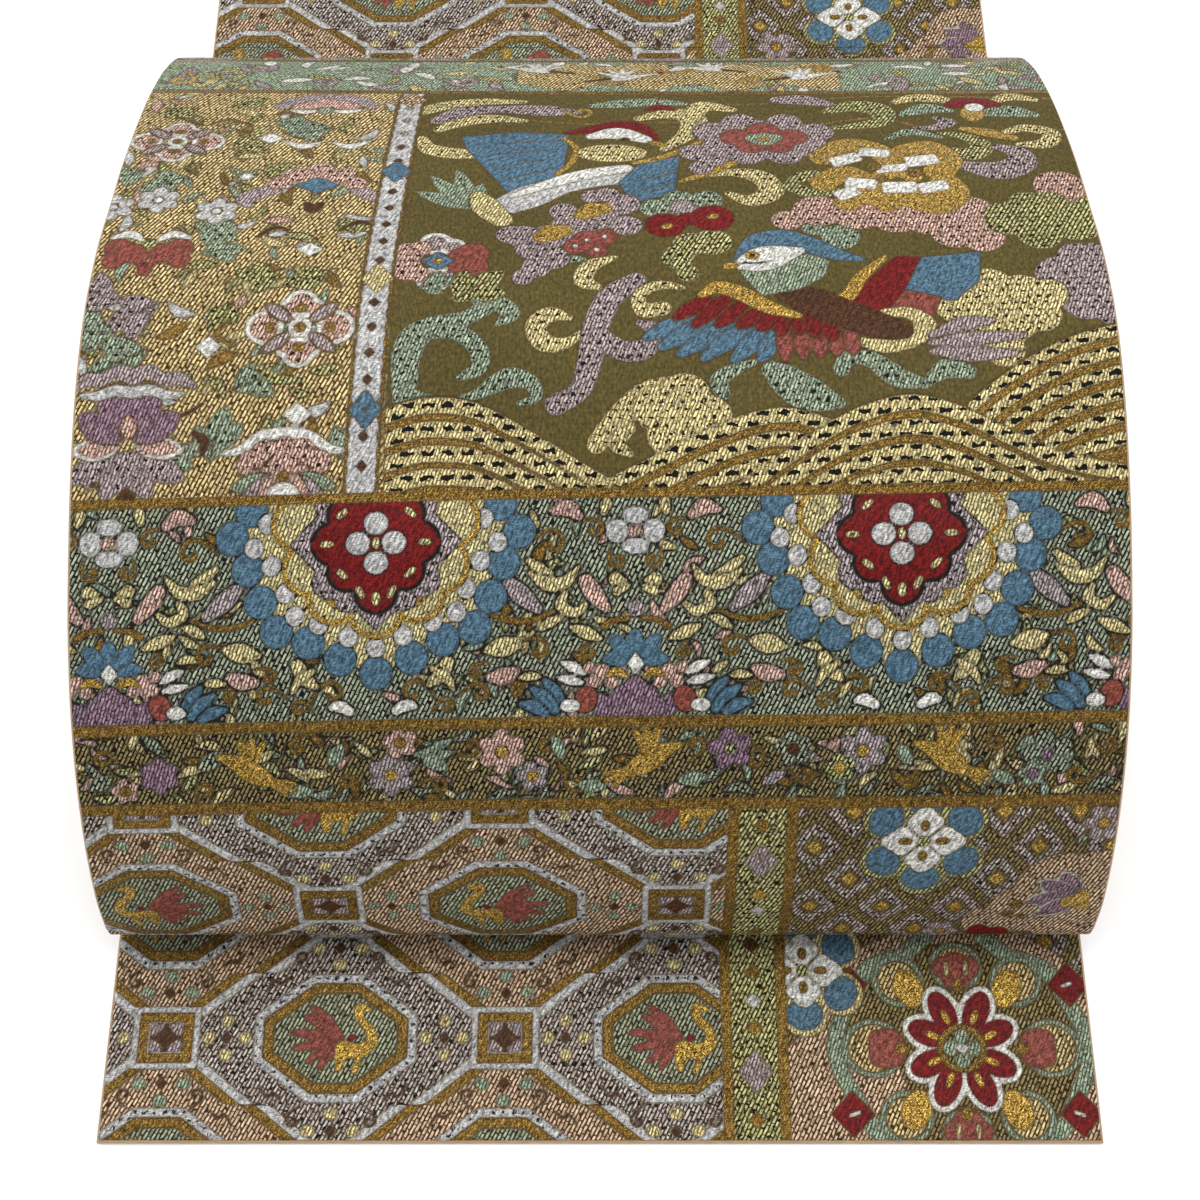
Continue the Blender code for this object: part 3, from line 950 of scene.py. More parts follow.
NARROW_LEAVES = (
    # x, y, length, width, turn (degrees), yarn
    (36, 207, 10, 4.6, 38, "sage"),
    (3, 201, 9, 4.2, 30, "sage"),
    (62, 198.5, 8, 3.8, 10, "mint"),
    (75, 208, 8, 4.0, 60, "mint"),
    (101, 214, 8, 3.8, 200, "sage"),
    (110, 206, 9, 4.2, 150, "mint"),
    (131, 200, 9, 4.4, 20, "sage"),
    (144, 209, 8, 3.6, 110, "mint"),
    (157, 199.6, 9, 4.0, 175, "mint"),
    (178, 201.5, 9, 4.4, 12, "mint"),
    (203, 200.5, 8, 3.6, 30, "lilac"),
    (219, 210, 9, 4.4, 190, "sage"),
    (224, 201.0, 9, 4.6, 30, "mint"),
    (239, 214, 9, 4.4, 215, "sage"),
    (247, 206, 8, 3.6, 120, "mint"),
    (266, 201, 8, 4.2, 10, "sage"),
    (278, 200, 8, 3.6, 150, "mint"),
    (300, 198.5, 8, 3.8, 20, "sage"),
)

NARROW_FLOWERS = (
    # x, y, petals, reach, petal, yarn, heart
    (24.5, 205.5, 6, 3.6, 2.4, "purple", "purple"),
    (14, 200.5, 5, 2.6, 1.7, "pink", "bronze"),
    (93, 204.5, 6, 4.4, 2.6, "lilac", "gold"),
    (96, 215.0, 5, 3.0, 2.2, "pink", "bronze"),
    (126, 211.5, 6, 4.6, 2.6, "pink", "gold"),
    (135, 203.4, 5, 3.0, 2.0, "lilac", "gold"),
    (193.5, 212.0, 5, 4.0, 2.7, "purple", "leaf"),
    (212, 211.8, 5, 3.4, 2.2, "sage", "brown"),
    (232.5, 211.0, 6, 4.6, 2.6, "lilac", "gold"),
    (226, 205.5, 5, 2.8, 2.0, "leaf", "gold"),
    (287.0, 209.0, 5, 4.8, 3.0, "sage", "purple"),
    (283, 203.0, 5, 2.4, 1.8, "mint", "purple"),
)


def gold_bird(chart, x, y, flip, inside):
    """A small flying bird in gold, with its wing up and its tail spread."""
    bird = chart.patch(x, y, 20, inside=inside, flip=flip)
    body = ((-10, 5), (-5, 3.0), (0, -0.5), (5, -3.5), (10, -5.6))
    bird.lay("gold", bird.line(body, (1.2, 4.4, 6.6, 4.0, 1.0)), gap=0.35)
    for dx, dy in ((-3.0, 9.4), (0.4, 9.6), (3.6, 8.6)):
        bird.lay("gold", bird.line(((-1.0, 1.0), (dx, dy)), (3.2, 1.8), 0), gap=0.2)
    for dx, dy in ((12.6, -4.6), (12.4, -7.2), (9.6, -8.4)):
        bird.lay("gold", bird.line(((5.0, -3.2), (dx, dy)), (2.0, 1.0), 0), gap=0.2)


# ---------------------------------------------------------------- the medallion band


MEDALLIONS = ((89.4, 275.0), (243.3, 275.0))
BLOOMS = (11.4, 165.4, 319.4)
SPRAY_HEIGHT = 277.0
SPRAY_REACH = BLOOMS[1] - MEDALLIONS[0][0]  # from a bloom to the next medallion

SPRAY_LEAVES = (
    # yarn, points from the silver flower's heart (x, y), widths
    ("cream", ((8.6, 8.4), (9.2, 5.8)), (3.0, 2.0)),
    ("pink", ((16.6, 4.6), (20, 7.0), (24.5, 6.0)), (2.4, 4.6, 1.6)),
    ("cream", ((2.0, -15.6), (5.8, -14.2)), (1.2, 3.8)),
    ("cream", ((2.2, -16.4), (5.4, -17.6)), (1.2, 2.6)),
    ("pink", ((14.6, -14.6), (12.2, -18.2), (8.6, -22.6)), (4.0, 5.0, 2.6)),
    ("cream", ((16.8, -10.4), (20.4, -14.8), (26.0, -15.2), (30.6, -12.0)), (0.8, 3.2, 3.8, 1.2)),
    ("cream", ((24.6, -12.2), (28.4, -10.4), (31.2, -8.4)), (1.2, 2.6, 1.6)),
    ("lilac", ((38.0, -14.0), (33.6, -18.2), (28.6, -22.6)), (2.8, 5.4, 2.6)),
    ("cream", ((14.6, -21.6), (17.8, -23.8), (22.0, -21.6), (20.6, -18.4)), (1.4, 2.6, 2.8, 1.6)),
    ("cream", ((22.0, -25.4), (25.0, -26.6), (27.8, -28.6)), (1.0, 2.8, 1.0)),
    ("cream", ((10.0, -31.6), (14.4, -29.8), (18.8, -28.0)), (0.9, 3.6, 1.0)),
    ("cream", ((34.4, -32.6), (38.8, -33.6), (44.2, -34.6)), (2.2, 5.6, 0.9)),
    ("cream", ((27.8, -42.6), (30.8, -42.4), (33.8, -42.8)), (0.8, 2.4, 0.8)),
    ("pink", ((35.0, -40.8), (38.6, -42.2), (42.6, -42.6)), (2.2, 4.8, 2.4)),
    ("cream", ((60.6, -44.6), (57.4, -41.6), (55.0, -37.8)), (1.0, 4.4, 3.4)),
    ("cream", ((53.4, -45.8), (55.4, -42.2), (59.6, -39.4)), (1.0, 2.4, 1.2)),
    ("white", ((15.0, -41.8), (18.0, -40.0), (21.4, -38.6)), (1.0, 3.0, 1.0)),
    ("white", ((15.6, -44.6), (19.0, -43.8), (22.6, -43.0)), (1.0, 2.6, 1.0)),
    ("white", ((70.2, -52.0), (67.2, -50.4), (64.6, -50.8)), (2.6, 3.4, 1.4)),
    ("blue", ((21.6, -50.4), (24.0, -46.8), (26.6, -43.6)), (2.6, 3.8, 1.2)),
    ("blue", ((23.6, -52.6), (27.0, -48.6), (30.4, -46.0)), (2.6, 3.8, 1.2)),
    ("blue", ((26.6, -53.6), (30.0, -51.4), (34.0, -50.6)), (2.2, 3.6, 1.0)),
)

SPRAY_SCROLLS = (
    # x, y, radius, turn (degrees), hand, tail
    (5.0, -8.4, 2.9, 20, -1, 3.0),
    (12.0, 0.6, 3.2, 70, 1, 3.0),
    (24.2, -3.4, 4.6, 40, 1, 6.0),
    (28.6, -34.6, 3.9, 60, 1, 6.5),
    (45.8, -47.4, 3.6, 40, 1, 4.5),
    (65.0, -46.6, 4.4, 160, -1, 5.0),
    (55.4, -51.0, 2.9, 20, 1, 3.0),
    (34.4, -46.4, 2.6, 110, -1, 3.0),
    (13.4, -35.4, 2.6, 80, -1, 3.0),
    (46.4, -41.0, 2.6, 100, -1, 3.4),
)


def medallion_band(chart):
    """Half medallions ringed in blue, silver flowers and lotuses, on a sage ground bound in black."""
    inside = (*FULL_WIDTH, *MEDALLION_BAND)
    band = chart.field(*inside)
    band.lay("sage", band.all(), gap=0)
    band.mark("outline")
    scattered_leaves(
        chart, inside, 11, 260, ("cream", "cream", "leaf", "mint", "pink", "bronze"), (4.0, 8.5), 0.75
    )
    for x in BLOOMS:
        spray = chart.patch(x, SPRAY_HEIGHT, 80, inside=inside)
        for side in (1, -1):
            half = spray.with_places(spray.x * side, spray.y)
            for sx, sy, radius, turn, hand, tail in SPRAY_SCROLLS:
                if sx + 3 < SPRAY_REACH:
                    half.lay("bronze", half.curl(sx, sy, radius, 1.15, turn, 0.85, hand, tail), gap=0.3)
            half.lay(
                "bronze",
                half.line(((22.6, -22.8), (31, -26.0), (38, -25.6), (43.4, -23.6)), (0.8, 1.5, 1.5, 0.7)),
                gap=0.3,
            )
            half.lay("bronze", half.line(((2, -25.6), (6.4, -26.2), (9.4, -28.0)), (1.3, 1.4, 2.0)), gap=0.3)
            for yarn, points, widths in SPRAY_LEAVES:
                half.lay(yarn, half.line(points, widths, 3 if len(points) > 2 else 0), gap=0.8)
        silver_flower(spray)
        band_lotus(spray)
    for x, y in MEDALLIONS:
        medallion(chart.patch(x, y, 48, inside=inside))


def silver_flower(patch):
    """A small silver flower with a pink heart, which the scrolls spring from."""
    near = patch.mirrored()
    near.lay("silver", near.oval(5.4, 0, 3.2, 3.4), gap=0.45)
    near.lay("silver", np.minimum(near.oval(0, 4.7, 3.7, 2.4), near.oval(0, -4.5, 3.9, 2.3)), gap=0.45)
    patch.lay("pink", patch.oval(0, 0, 2.4, 1.7), gap=0.2)
    patch.lay("cream", patch.disc(0.8, 0, 0.8), gap=0.0)
    patch.lay("lilac", patch.disc(0.2, -22.8, 2.3), gap=0.4)


def band_lotus(patch):
    """Blue petals over a purple lotus, which the line below cuts off."""
    near = patch.mirrored()
    near.lay("pink", near.cloud((9.6, -41.4, 2.2), (12.2, -44.2, 2.0), (13.6, -40.0, 1.6)), gap=0.4)
    near.lay("pink", near.cloud((4.4, -40.4, 1.8), (7.0, -44.4, 1.8)), gap=0.3)
    near.lay("blue", near.line(((1.6, -38.4), (5.4, -37.4), (8.8, -37.8)), (2.0, 4.6, 1.8)), gap=0.3)
    near.lay("blue", near.line(((1.6, -36.8), (4.6, -33.6), (6.6, -31.4)), (2.0, 4.6, 2.0)), gap=0.3)
    near.lay("blue", near.line(((0, -36), (0, -31.6), (0, -29.6)), (2.4, 4.2, 1.6)), gap=0.3)
    near.lay("white", near.diamond(0, -39.0, 2.5, 3.2), gap=0.3)
    near.lay("gold", near.line(((2.6, -42.8), (5.6, -41.2), (8.4, -42.6)), (1.0, 2.2, 0.8)), gap=0.3)
    near.lay("purple", near.line(((5.0, -55.5), (9.6, -51.4), (13.6, -48.6)), (5.0, 6.0, 3.0)), gap=0.45)
    near.lay("salmon", near.oval(14.6, -49.6, 3.2, 4.0, 20), gap=0.45)
    near.lay(
        "purple",
        near.cloud((0, -48.0, 4.4), (0, -45.4, 2.6), (3.6, -49.0, 3.4), (2.6, -52.6, 4.4)),
        gap=0.45,
    )
    near.lay("white", near.oval(19.2, -51.4, 2.8, 1.9), gap=0.4)


def medallion(patch):
    """A red jewel in a lilac and cream field, inside a ring of blue and silver discs."""
    near = patch.mirrored()
    blues = (
        (36.4, 10.6),
        (42.0, 2.4),
        (37.4, -6.8),
        (33.6, -16.6),
        (29.0, -25.6),
        (19.6, -29.0),
        (10.4, -34.2),
        (0, -38.6),
    )
    whites = (
        (31.6, 6.4),
        (35.6, -0.6),
        (30.6, -6.0),
        (26.4, -14.2),
        (23.6, -21.0),
        (16.6, -23.6),
        (8.0, -27.6),
        (0, -31.0),
    )
    near.lay(
        "cream",
        near.cloud(*((0.86 * x, 0.86 * y, 6.4) for x, y in blues), (0, 0, 31), (14, -6, 16)),
        gap=0.4,
    )
    for x, y in blues:
        near.lay("blue", near.oval(x, y, 4.7, 4.9), gap=0.4)
    for x, y in whites:
        near.lay("silver", near.oval(x, y, 2.7, 2.9), gap=0.4)
    scallops = near.cloud((22.5, 6, 8.2), (19, -7, 8.6), (12, -15.5, 8.6), (0, -20, 8.4), (0, 0, 18))
    near.lay("cream", scallops, gap=0.3)
    near.lay("gold", np.abs(scallops + 0.9) - 0.6, gap=0.1)
    near.lay(
        "cream",
        near.cloud((24.4, 8.4, 2.0), (22.4, -7.6, 2.1), (14.6, -18.6, 2.2), (0, -24.0, 2.4)),
        gap=0.35,
    )
    near.lay("gold", near.line(((7.6, -19.6), (12.6, -17.6), (16.0, -13.4)), (0.7, 1.5, 0.7)), gap=0.25)
    lilac = np.minimum(near.diamond(0, 0, 25, 25.5), near.cloud((13, 12, 5), (13.5, -11, 5), (8, -16, 4)))
    near.lay("lilac", lilac, gap=0.45, marks=("dots",))
    red = near.cloud(
        (12.6, 0, 5.6), (8.6, -8.4, 5.0), (0, -14.6, 5.6), (8.6, 8.4, 5.0), (0, 14.6, 5.6), (5, 0, 9)
    )
    near.lay("black", red - 1.0, gap=0.0)
    near.lay("red", np.minimum(red, near.diamond(0, 0, 19.4, 21)), gap=0.0)
    for x, y, turn in ((14.4, 0, 0), (10.0, -8.8, 40), (10.0, 8.8, -40), (4.6, -14.4, 62)):
        near.lay("cream", near.oval(x, y, 2.1, 0.9, turn), gap=0.25)
    near.lay("cream", near.oval(0, -16.4, 1.2, 2.0), gap=0.25)
    for x, y in ((5.3, 0), (0, 5.8), (0, -5.8)):
        near.lay("silver", near.oval(x, y, 3.5, 3.3), gap=0.4)
    patch.lay("cream", patch.oval(0, 0, 1.0, 1.7), gap=0.3)


# ---------------------------------------------------------------- the left panel


def left_panel(chart):
    """Stylised flowers and leaves on a ground of gold-beige dashes."""
    inside = LEFT_PANEL
    field = chart.field(*inside)
    field.lay("beige", field.all(), gap=0)
    scattered_leaves(
        chart, inside, 23, 230, ("leaf", "cream", "leaf", "mint", "pink", "bronze", "silver"), (4.5, 10.0)
    )
    for x, y, length, turn, yarn, flip in PANEL_LEAVES:
        lobed_leaf(chart, x, y, 1.25 * length, turn, inside, yarn, flip)
    for yarn, points, widths in PANEL_STROKES:
        ribbon(chart, yarn, points, widths, inside, gap=0.25)
    eight_part_flower(chart, 15.4, 434.5, 1.0, inside)
    eight_part_flower(chart, 64.9, 342.4, 1.05, inside)
    for x, y, across, along in PANEL_DIAMONDS:
        patch = chart.patch(x, y, 8, inside=inside)
        patch.lay("white", np.minimum(patch.diamond(0, 0, across, along), patch.disc(0, 0, 1.8)), gap=0.3)
    for x, y in PANEL_BLOOMS:
        bloom = chart.patch(x, y, 10, inside=inside)
        round_flower(bloom, "silver", 6, 4.4, 2.5, ("white", 1.4), start=90)
    blue_jewel(chart, 64.3, 408, inside)
    salmon_scallops(chart, 15.7, 373, inside)
    panel_lotus(chart, 16.0, 307.0, inside)
    arched_flower(chart, 62.0, 300.0, inside)
    cloud_ribbon(chart, 16.5, 325.0, inside)
    upper_blossom(chart, 62.0, 463.0, inside)


PANEL_LEAVES = (
    # x, y, length, turn (degrees), yarn, flipped
    (8, 416, 12, 200, "mint", False),
    (22, 413, 13, 30, "mint", True),
    (28, 388, 14, -35, "mint", False),
    (32, 372, 11, 10, "mint", False),
    (10, 352, 14, 150, "lilac", False),
    (22, 352, 15, 32, "lilac", True),
    (10, 340, 13, 165, "mint", False),
    (20, 336, 17, 30, "mint", True),
    (34, 430, 11, 20, "leaf", False),
    (46, 420, 10, 150, "leaf", True),
    (60, 444, 12, 160, "mint", False),
    (66, 444, 12, 20, "mint", True),
    (58, 360, 12, 165, "leaf", False),
    (72, 362, 11, 15, "leaf", True),
    (44, 352, 10, 240, "leaf", False),
    (46, 322, 12, 20, "mint", False),
    (82, 330, 10, 150, "leaf", True),
    (40, 300, 14, 75, "mint", False),
    (50, 292, 13, 115, "mint", True),
    (78, 300, 12, 60, "mint", False),
    (30, 460, 10, 30, "leaf", False),
    (8, 458, 10, 150, "leaf", True),
    (82, 388, 9, 200, "leaf", False),
    (24, 300, 11, 20, "mint", False),
    (6, 298, 10, 160, "mint", True),
)

PANEL_STROKES = (
    # yarn, points (x, y), widths
    ("lilac", ((54, 408), (48, 404.5), (42, 401), (44, 396)), (2.0, 5.4, 5.6, 1.4)),
    ("lilac", ((74, 408), (79, 404.5), (84, 401)), (2.0, 5.4, 4.0)),
    ("brown", ((62, 398), (64, 395.4), (66.6, 398)), (2.0, 4.4, 2.0)),
    ("brown", ((3, 313.5), (14, 311.5), (30, 313.8), (38, 318)), (0.7, 1.1, 1.0, 0.5)),
    ("brown", ((35, 309), (38.5, 306.4), (38.0, 302.4)), (1.0, 2.6, 1.0)),
    ("brown", ((48, 380), (53, 385), (58, 384)), (0.8, 1.4, 0.8)),
    ("brown", ((74, 384), (79, 388), (84, 386)), (0.8, 1.4, 0.8)),
    ("bronze", ((24, 446), (30, 450), (37, 447)), (0.8, 1.3, 0.7)),
    ("bronze", ((44, 345), (40, 340.5), (45, 336)), (0.8, 1.3, 0.7)),
    ("white", ((50.5, 435), (57, 431.6), (62.5, 434.2)), (1.0, 3.0, 1.0)),
    ("white", ((67, 434.2), (72.5, 431.6), (79, 435)), (1.0, 3.0, 1.0)),
    ("leaf", ((52, 330), (58, 325.5), (66, 324.5)), (1.0, 3.0, 1.4)),
)

PANEL_DIAMONDS = (
    # x, y, half across, half along
    (45.8, 437, 4.2, 3.4),
    (41, 413, 2.6, 2.0),
    (65.3, 374, 4.2, 3.2),
    (37.9, 336, 3.6, 3.6),
    (65.5, 314, 4.4, 3.6),
)

PANEL_BLOOMS = ((14.7, 400), (33.9, 394), (1.0, 396))


def blue_jewel(chart, x, y, inside):
    """A blue jewel under a fan of pink puffs."""
    patch = chart.patch(x, y, 20, inside=inside)
    fan = patch.cloud((-12, 1, 3.6), (-8, 6, 3.8), (0, 9, 4.2), (8, 6, 3.8), (12, 1, 3.6), (0, 4, 6.4))
    patch.lay("pink", np.maximum(fan, -1.6 - patch.y), gap=0.3, marks=("dots",))
    patch.lay("blue", np.minimum(patch.diamond(0, 0, 7.2, 4.2), patch.oval(0, 0.6, 4.2, 3.4)), gap=0.35)


def salmon_scallops(chart, x, y, inside):
    """A low crown of salmon scallops under two white arcs."""
    patch = chart.patch(x, y, 20, inside=inside)
    near = patch.mirrored()
    near.lay("white", near.line(((2.6, 5.4), (6.6, 8.4), (11.6, 6.6)), (1.4, 3.4, 1.6)), gap=0.3)
    near.lay(
        "salmon",
        near.cloud((9.4, 1.6, 4.2), (4.6, -0.8, 4.0), (10.2, -4.0, 3.2), (0, -4.4, 3.2), (0, -8.2, 2.0)),
        gap=0.4,
    )
    near.lay("leaf", near.line(((8.6, 3.2), (10.6, 1.4), (9.2, -0.4)), (0.7, 0.7, 0.6)), gap=0)
    patch.lay("leaf", patch.line(((0.6, -3.0), (0, -7.2)), (0.8, 0.8), 0), gap=0)
    patch.lay("leaf", patch.oval(0, 3.6, 2.2, 1.8), gap=0.3)


def panel_lotus(chart, x, y, inside):
    """A purple lotus over broad lilac leaves."""
    patch = chart.patch(x, y, 26, inside=inside)
    near = patch.mirrored()
    near.lay("lilac", near.leaf(2, -4, 17, 8, -28), gap=0.35, marks=("dots",))
    near.lay("lilac", near.leaf(1, -6, 13, 6.5, -62), gap=0.35)
    near.lay("white", near.leaf(2, -2, 15, 6.4, -4), gap=0.3)
    near.lay("pink", near.leaf(3, -2, 12, 4.2, -4), gap=0.1)
    near.lay("purple", near.leaf(1.5, 0, 15.5, 8.4, 30), gap=0.45)
    near.lay("purple", near.leaf(1.0, 1.0, 15.5, 8.0, 62), gap=0.45)
    patch.lay("purple", patch.leaf(0, 1.0, 13.5, 8.6, 90), gap=0.45)
    patch.lay("pink", patch.leaf(0, 0.5, 7.2, 4.4, 90), gap=0.35)
    patch.lay("lilac", patch.oval(0, -9.6, 4.4, 6.4), gap=0.35, marks=("dots",))
    patch.lay("brown", patch.diamond(0, -17.0, 3.0, 3.4), gap=0.2)


def arched_flower(chart, x, y, inside):
    """A half flower under a white arch, with striped leaves at its foot."""
    patch = chart.patch(x, y, 26, inside=inside)
    near = patch.mirrored()
    near.lay("white", near.line(((0, 8.4), (7, 7.4), (13, 3.4), (18, 2.6)), (3.4, 3.2, 2.6, 1.2)), gap=0.3)
    near.lay(
        "pink",
        near.cloud((0, 3.4, 3.8), (5.4, 2.8, 3.6), (10.2, -0.6, 3.6), (5, -2.4, 5)),
        gap=0.3,
        marks=("dots",),
    )
    near.lay("brown", near.line(((3.2, 1.6), (6.0, -1.6), (9.0, -2.4)), (0.6, 0.7, 0.5)), gap=0)
    for turn, yarn in ((-20, "mint"), (-46, "lilac"), (-74, "pink")):
        near.lay(yarn, near.leaf(3.6, -4.0, 13, 4.2, turn), gap=0.4)
    patch.lay("white", patch.oval(0, -10.0, 4.6, 3.4), gap=0.35)
    patch.lay("bronze", patch.diamond(0, -4.6, 2.0, 1.8), gap=0.3)


def cloud_ribbon(chart, x, y, inside):
    """A waved lilac ribbon over a silver one."""
    patch = chart.patch(x, y, 24, inside=inside)
    near = patch.mirrored()
    near.lay(
        "lilac",
        near.line(((0, 1.6), (4.4, 3.0), (8.4, 0.6), (13.5, 0.8), (18, -1.8)), (5.0, 4.6, 4.4, 4.0, 1.8)),
        gap=0.35,
    )
    near.lay(
        "silver", near.line(((0, -3.4), (5, -2.6), (10, -4.2), (15, -4.0)), (3.4, 3.2, 2.8, 1.2)), gap=0.35
    )
    near.lay("bronze", near.line(((2, -0.6), (6, -0.2), (9, -1.6)), (0.6, 0.7, 0.5)), gap=0)


def upper_blossom(chart, x, y, inside):
    """Lilac and pink puffs over a white foot."""
    patch = chart.patch(x, y, 22, inside=inside)
    near = patch.mirrored()
    near.lay(
        "lilac", near.cloud((0, 3.6, 4.2), (5.8, 2.6, 4.0), (11.4, 0.0, 3.8), (15.2, -3.0, 2.6)), gap=0.35
    )
    near.lay("pink", near.cloud((0, -0.6, 3.6), (5.0, -2.2, 3.2), (9.2, -3.8, 2.4)), gap=0.3)
    near.lay("white", near.line(((2.6, -6.8), (7.4, -7.6), (12.0, -6.2)), (1.0, 2.6, 0.9)), gap=0.3)
    patch.lay("mint", patch.oval(0, -6.6, 2.6, 2.2), gap=0.3)


DIVIDER = (70, 104, *MAIN_PANEL)
DIVIDER_MIDDLE = (84.6, 90.8)  # where its middle lies at its low and its high end
DIVIDER_HALF = (4.1, 3.4)  # half its width there
DIVIDER_STEP = 8.9
DIVIDER_FLOWERS = ((416, "blue"), (361, "cream"), (315, "blue"), (465, "peach"))


def panel_divider(chart):
    """The slim upright band between the two main panels, which slants a little."""
    field = chart.field(*DIVIDER)
    if not field.x.size:
        return
    middle = np.interp(field.y, MAIN_PANEL, DIVIDER_MIDDLE)
    band = np.abs(field.x - middle) - np.interp(field.y, MAIN_PANEL, DIVIDER_HALF)
    field.lay("bronze", band - 1.0, gap=0.3)
    scallop = 0.5 * np.abs(np.sin(field.y * 0.62))
    field.lay("silver", band + scallop - 0.4, gap=0.25)
    for y in np.arange(MAIN_PANEL[0] + 8, MAIN_PANEL[1] - 4, DIVIDER_STEP):
        seed = chart.patch(float(np.interp(y, MAIN_PANEL, DIVIDER_MIDDLE)), y, 6, inside=DIVIDER)
        seed.lay("brown" if y < 440 else "lilac", seed.diamond(0, 0, 1.6, 1.7), gap=0.2)
    for y, yarn in DIVIDER_FLOWERS:
        flower = chart.patch(float(np.interp(y, MAIN_PANEL, DIVIDER_MIDDLE)), y, 9, inside=DIVIDER)
        four_diamonds(flower, yarn, 2.6, 3.3, 3.0)


# ---------------------------------------------------------------- the bird panel

HOOKS = (
    # yarn, points (x, y), widths
    (
        "mint",
        ((97, 318), (97, 330), (99, 338), (106, 343), (114, 345), (120, 349)),
        (6.0, 7.5, 8.0, 5.6, 4.6, 5.2),
    ),
    ("mint", ((104, 340), (112, 340), (118, 335), (119, 328), (113, 324.5)), (3.6, 4.6, 5.0, 4.6, 1.6)),
    (
        "mint",
        ((98, 319), (108, 317.6), (118, 319), (127, 324), (134, 323), (136, 318), (131, 316)),
        (4.6, 1.8, 2.6, 6.0, 4.4, 3.0, 1.4),
    ),
    ("mint", ((112, 353), (122, 352), (128, 347), (124, 343)), (1.6, 4.8, 5.0, 1.6)),
    (
        "cream",
        ((146, 345), (140, 346.5), (135.6, 342), (138.4, 336), (145, 336), (151, 341)),
        (1.6, 4.8, 5.4, 5.4, 3.0, 1.2),
    ),
    ("cream", ((160, 370), (152, 366), (150, 360), (155, 357)), (1.4, 4.6, 5.0, 1.6)),
    (
        "lilac",
        ((166, 360), (158, 353), (154, 342), (152, 330), (149, 320), (142, 315.5)),
        (5.6, 7.0, 7.0, 6.4, 5.4, 5.8),
    ),
    ("lilac", ((155, 338), (162, 333), (169, 334), (172, 340), (167, 343)), (5.4, 6.0, 6.0, 5.0, 2.0)),
    ("cream", ((154, 303), (160, 311), (168, 318), (176, 321)), (5.0, 6.0, 7.0, 6.0)),
    ("cream", ((163, 308), (160, 303), (164, 300)), (4.0, 4.0, 1.6)),
    ("mint", ((202, 329), (196, 326.6), (190.6, 323), (191.4, 318.6)), (1.4, 3.0, 4.8, 4.0)),
    ("mint", ((206, 326), (211, 322), (217, 318), (226, 315)), (5.0, 9.0, 9.6, 3.0)),
    ("mint", ((227, 326), (229, 330), (236, 329), (243, 323.4), (252, 320.6)), (4.4, 4.4, 4.6, 6.0, 2.4)),
    ("mint", ((252, 321), (258, 325.6), (265, 324.4)), (2.4, 5.6, 4.0)),
    ("cream", ((256, 464), (263, 467.6), (271, 466.6), (276, 463)), (2.6, 5.2, 5.4, 2.6)),
    ("cream", ((288, 463), (296, 468), (304, 465)), (3.0, 5.6, 2.6)),
    ("mint", ((258, 455), (266, 459), (274, 457)), (3.4, 6.6, 2.4)),
    ("mint", ((284, 454), (293, 456), (302, 452.5)), (3.0, 8.0, 3.0)),
    ("lilac", ((260, 444), (267, 444), (272, 448), (268, 451.5)), (1.2, 3.4, 5.0, 2.0)),
    ("leaf", ((268, 440), (276, 437.5), (281, 431), (277, 425.6), (271, 428)), (1.4, 4.0, 6.4, 7.0, 3.0)),
    ("gold", ((276, 443), (284, 440), (292, 436)), (2.2, 5.0, 3.0)),
    ("cream", ((290, 440), (297, 443), (305, 439), (302, 432), (293, 431.4)), (2.6, 4.4, 5.2, 5.4, 2.2)),
    ("lilac", ((286, 430), (292, 426), (292, 419), (284, 415), (274, 418)), (3.2, 6.6, 9.0, 9.0, 5.0)),
    ("cream", ((168, 451), (178, 455), (186, 452), (185, 442), (176, 430)), (3.0, 6.0, 8.6, 6.6, 2.4)),
    ("cream", ((186, 452), (190, 461), (200, 458)), (6.0, 6.6, 3.0)),
    ("mint", ((152, 461), (162, 463), (174, 464.6), (184, 463)), (2.4, 6.0, 5.0, 2.4)),
    ("lilac", ((216, 466), (225, 466), (236, 461)), (5.0, 7.0, 2.0)),
    ("leaf", ((232, 457), (241, 461), (250, 458), (249, 449), (233, 445)), (3.0, 6.6, 8.0, 6.0, 2.0)),
    (
        "cream",
        ((188, 413), (198, 415), (207, 412), (210, 404), (203, 399), (196, 403)),
        (1.4, 3.6, 6.6, 7.0, 5.0, 2.0),
    ),
    ("leaf", ((215, 408), (222, 413), (231, 411)), (2.0, 5.4, 2.0)),
    ("leaf", ((216, 407), (224, 402.6), (235, 405)), (4.4, 4.4, 1.4)),
    ("cream", ((180, 357), (173, 358), (167, 354), (168, 348), (174, 348.6)), (1.6, 3.0, 3.6, 4.6, 4.6)),
    ("cream", ((96, 437), (99, 430), (109, 427), (121, 427.6)), (3.0, 5.6, 5.8, 4.0)),
    ("cream", ((95, 456), (104, 461), (116, 464), (129, 464)), (5.0, 6.0, 5.0, 2.4)),
    ("cream", ((101, 443), (108, 448), (118, 450.6), (130, 449)), (3.0, 5.4, 5.0, 2.0)),
    ("lilac", ((100, 449), (108, 455), (120, 457.6), (136, 457), (148, 455.6)), (4.0, 6.6, 4.4, 7.4, 2.4)),
    ("mint", ((250, 436), (258, 441), (268, 437)), (1.6, 4.0, 1.6)),
    ("mint", ((134, 376), (142, 370), (150, 369)), (1.4, 3.6, 1.6)),
)

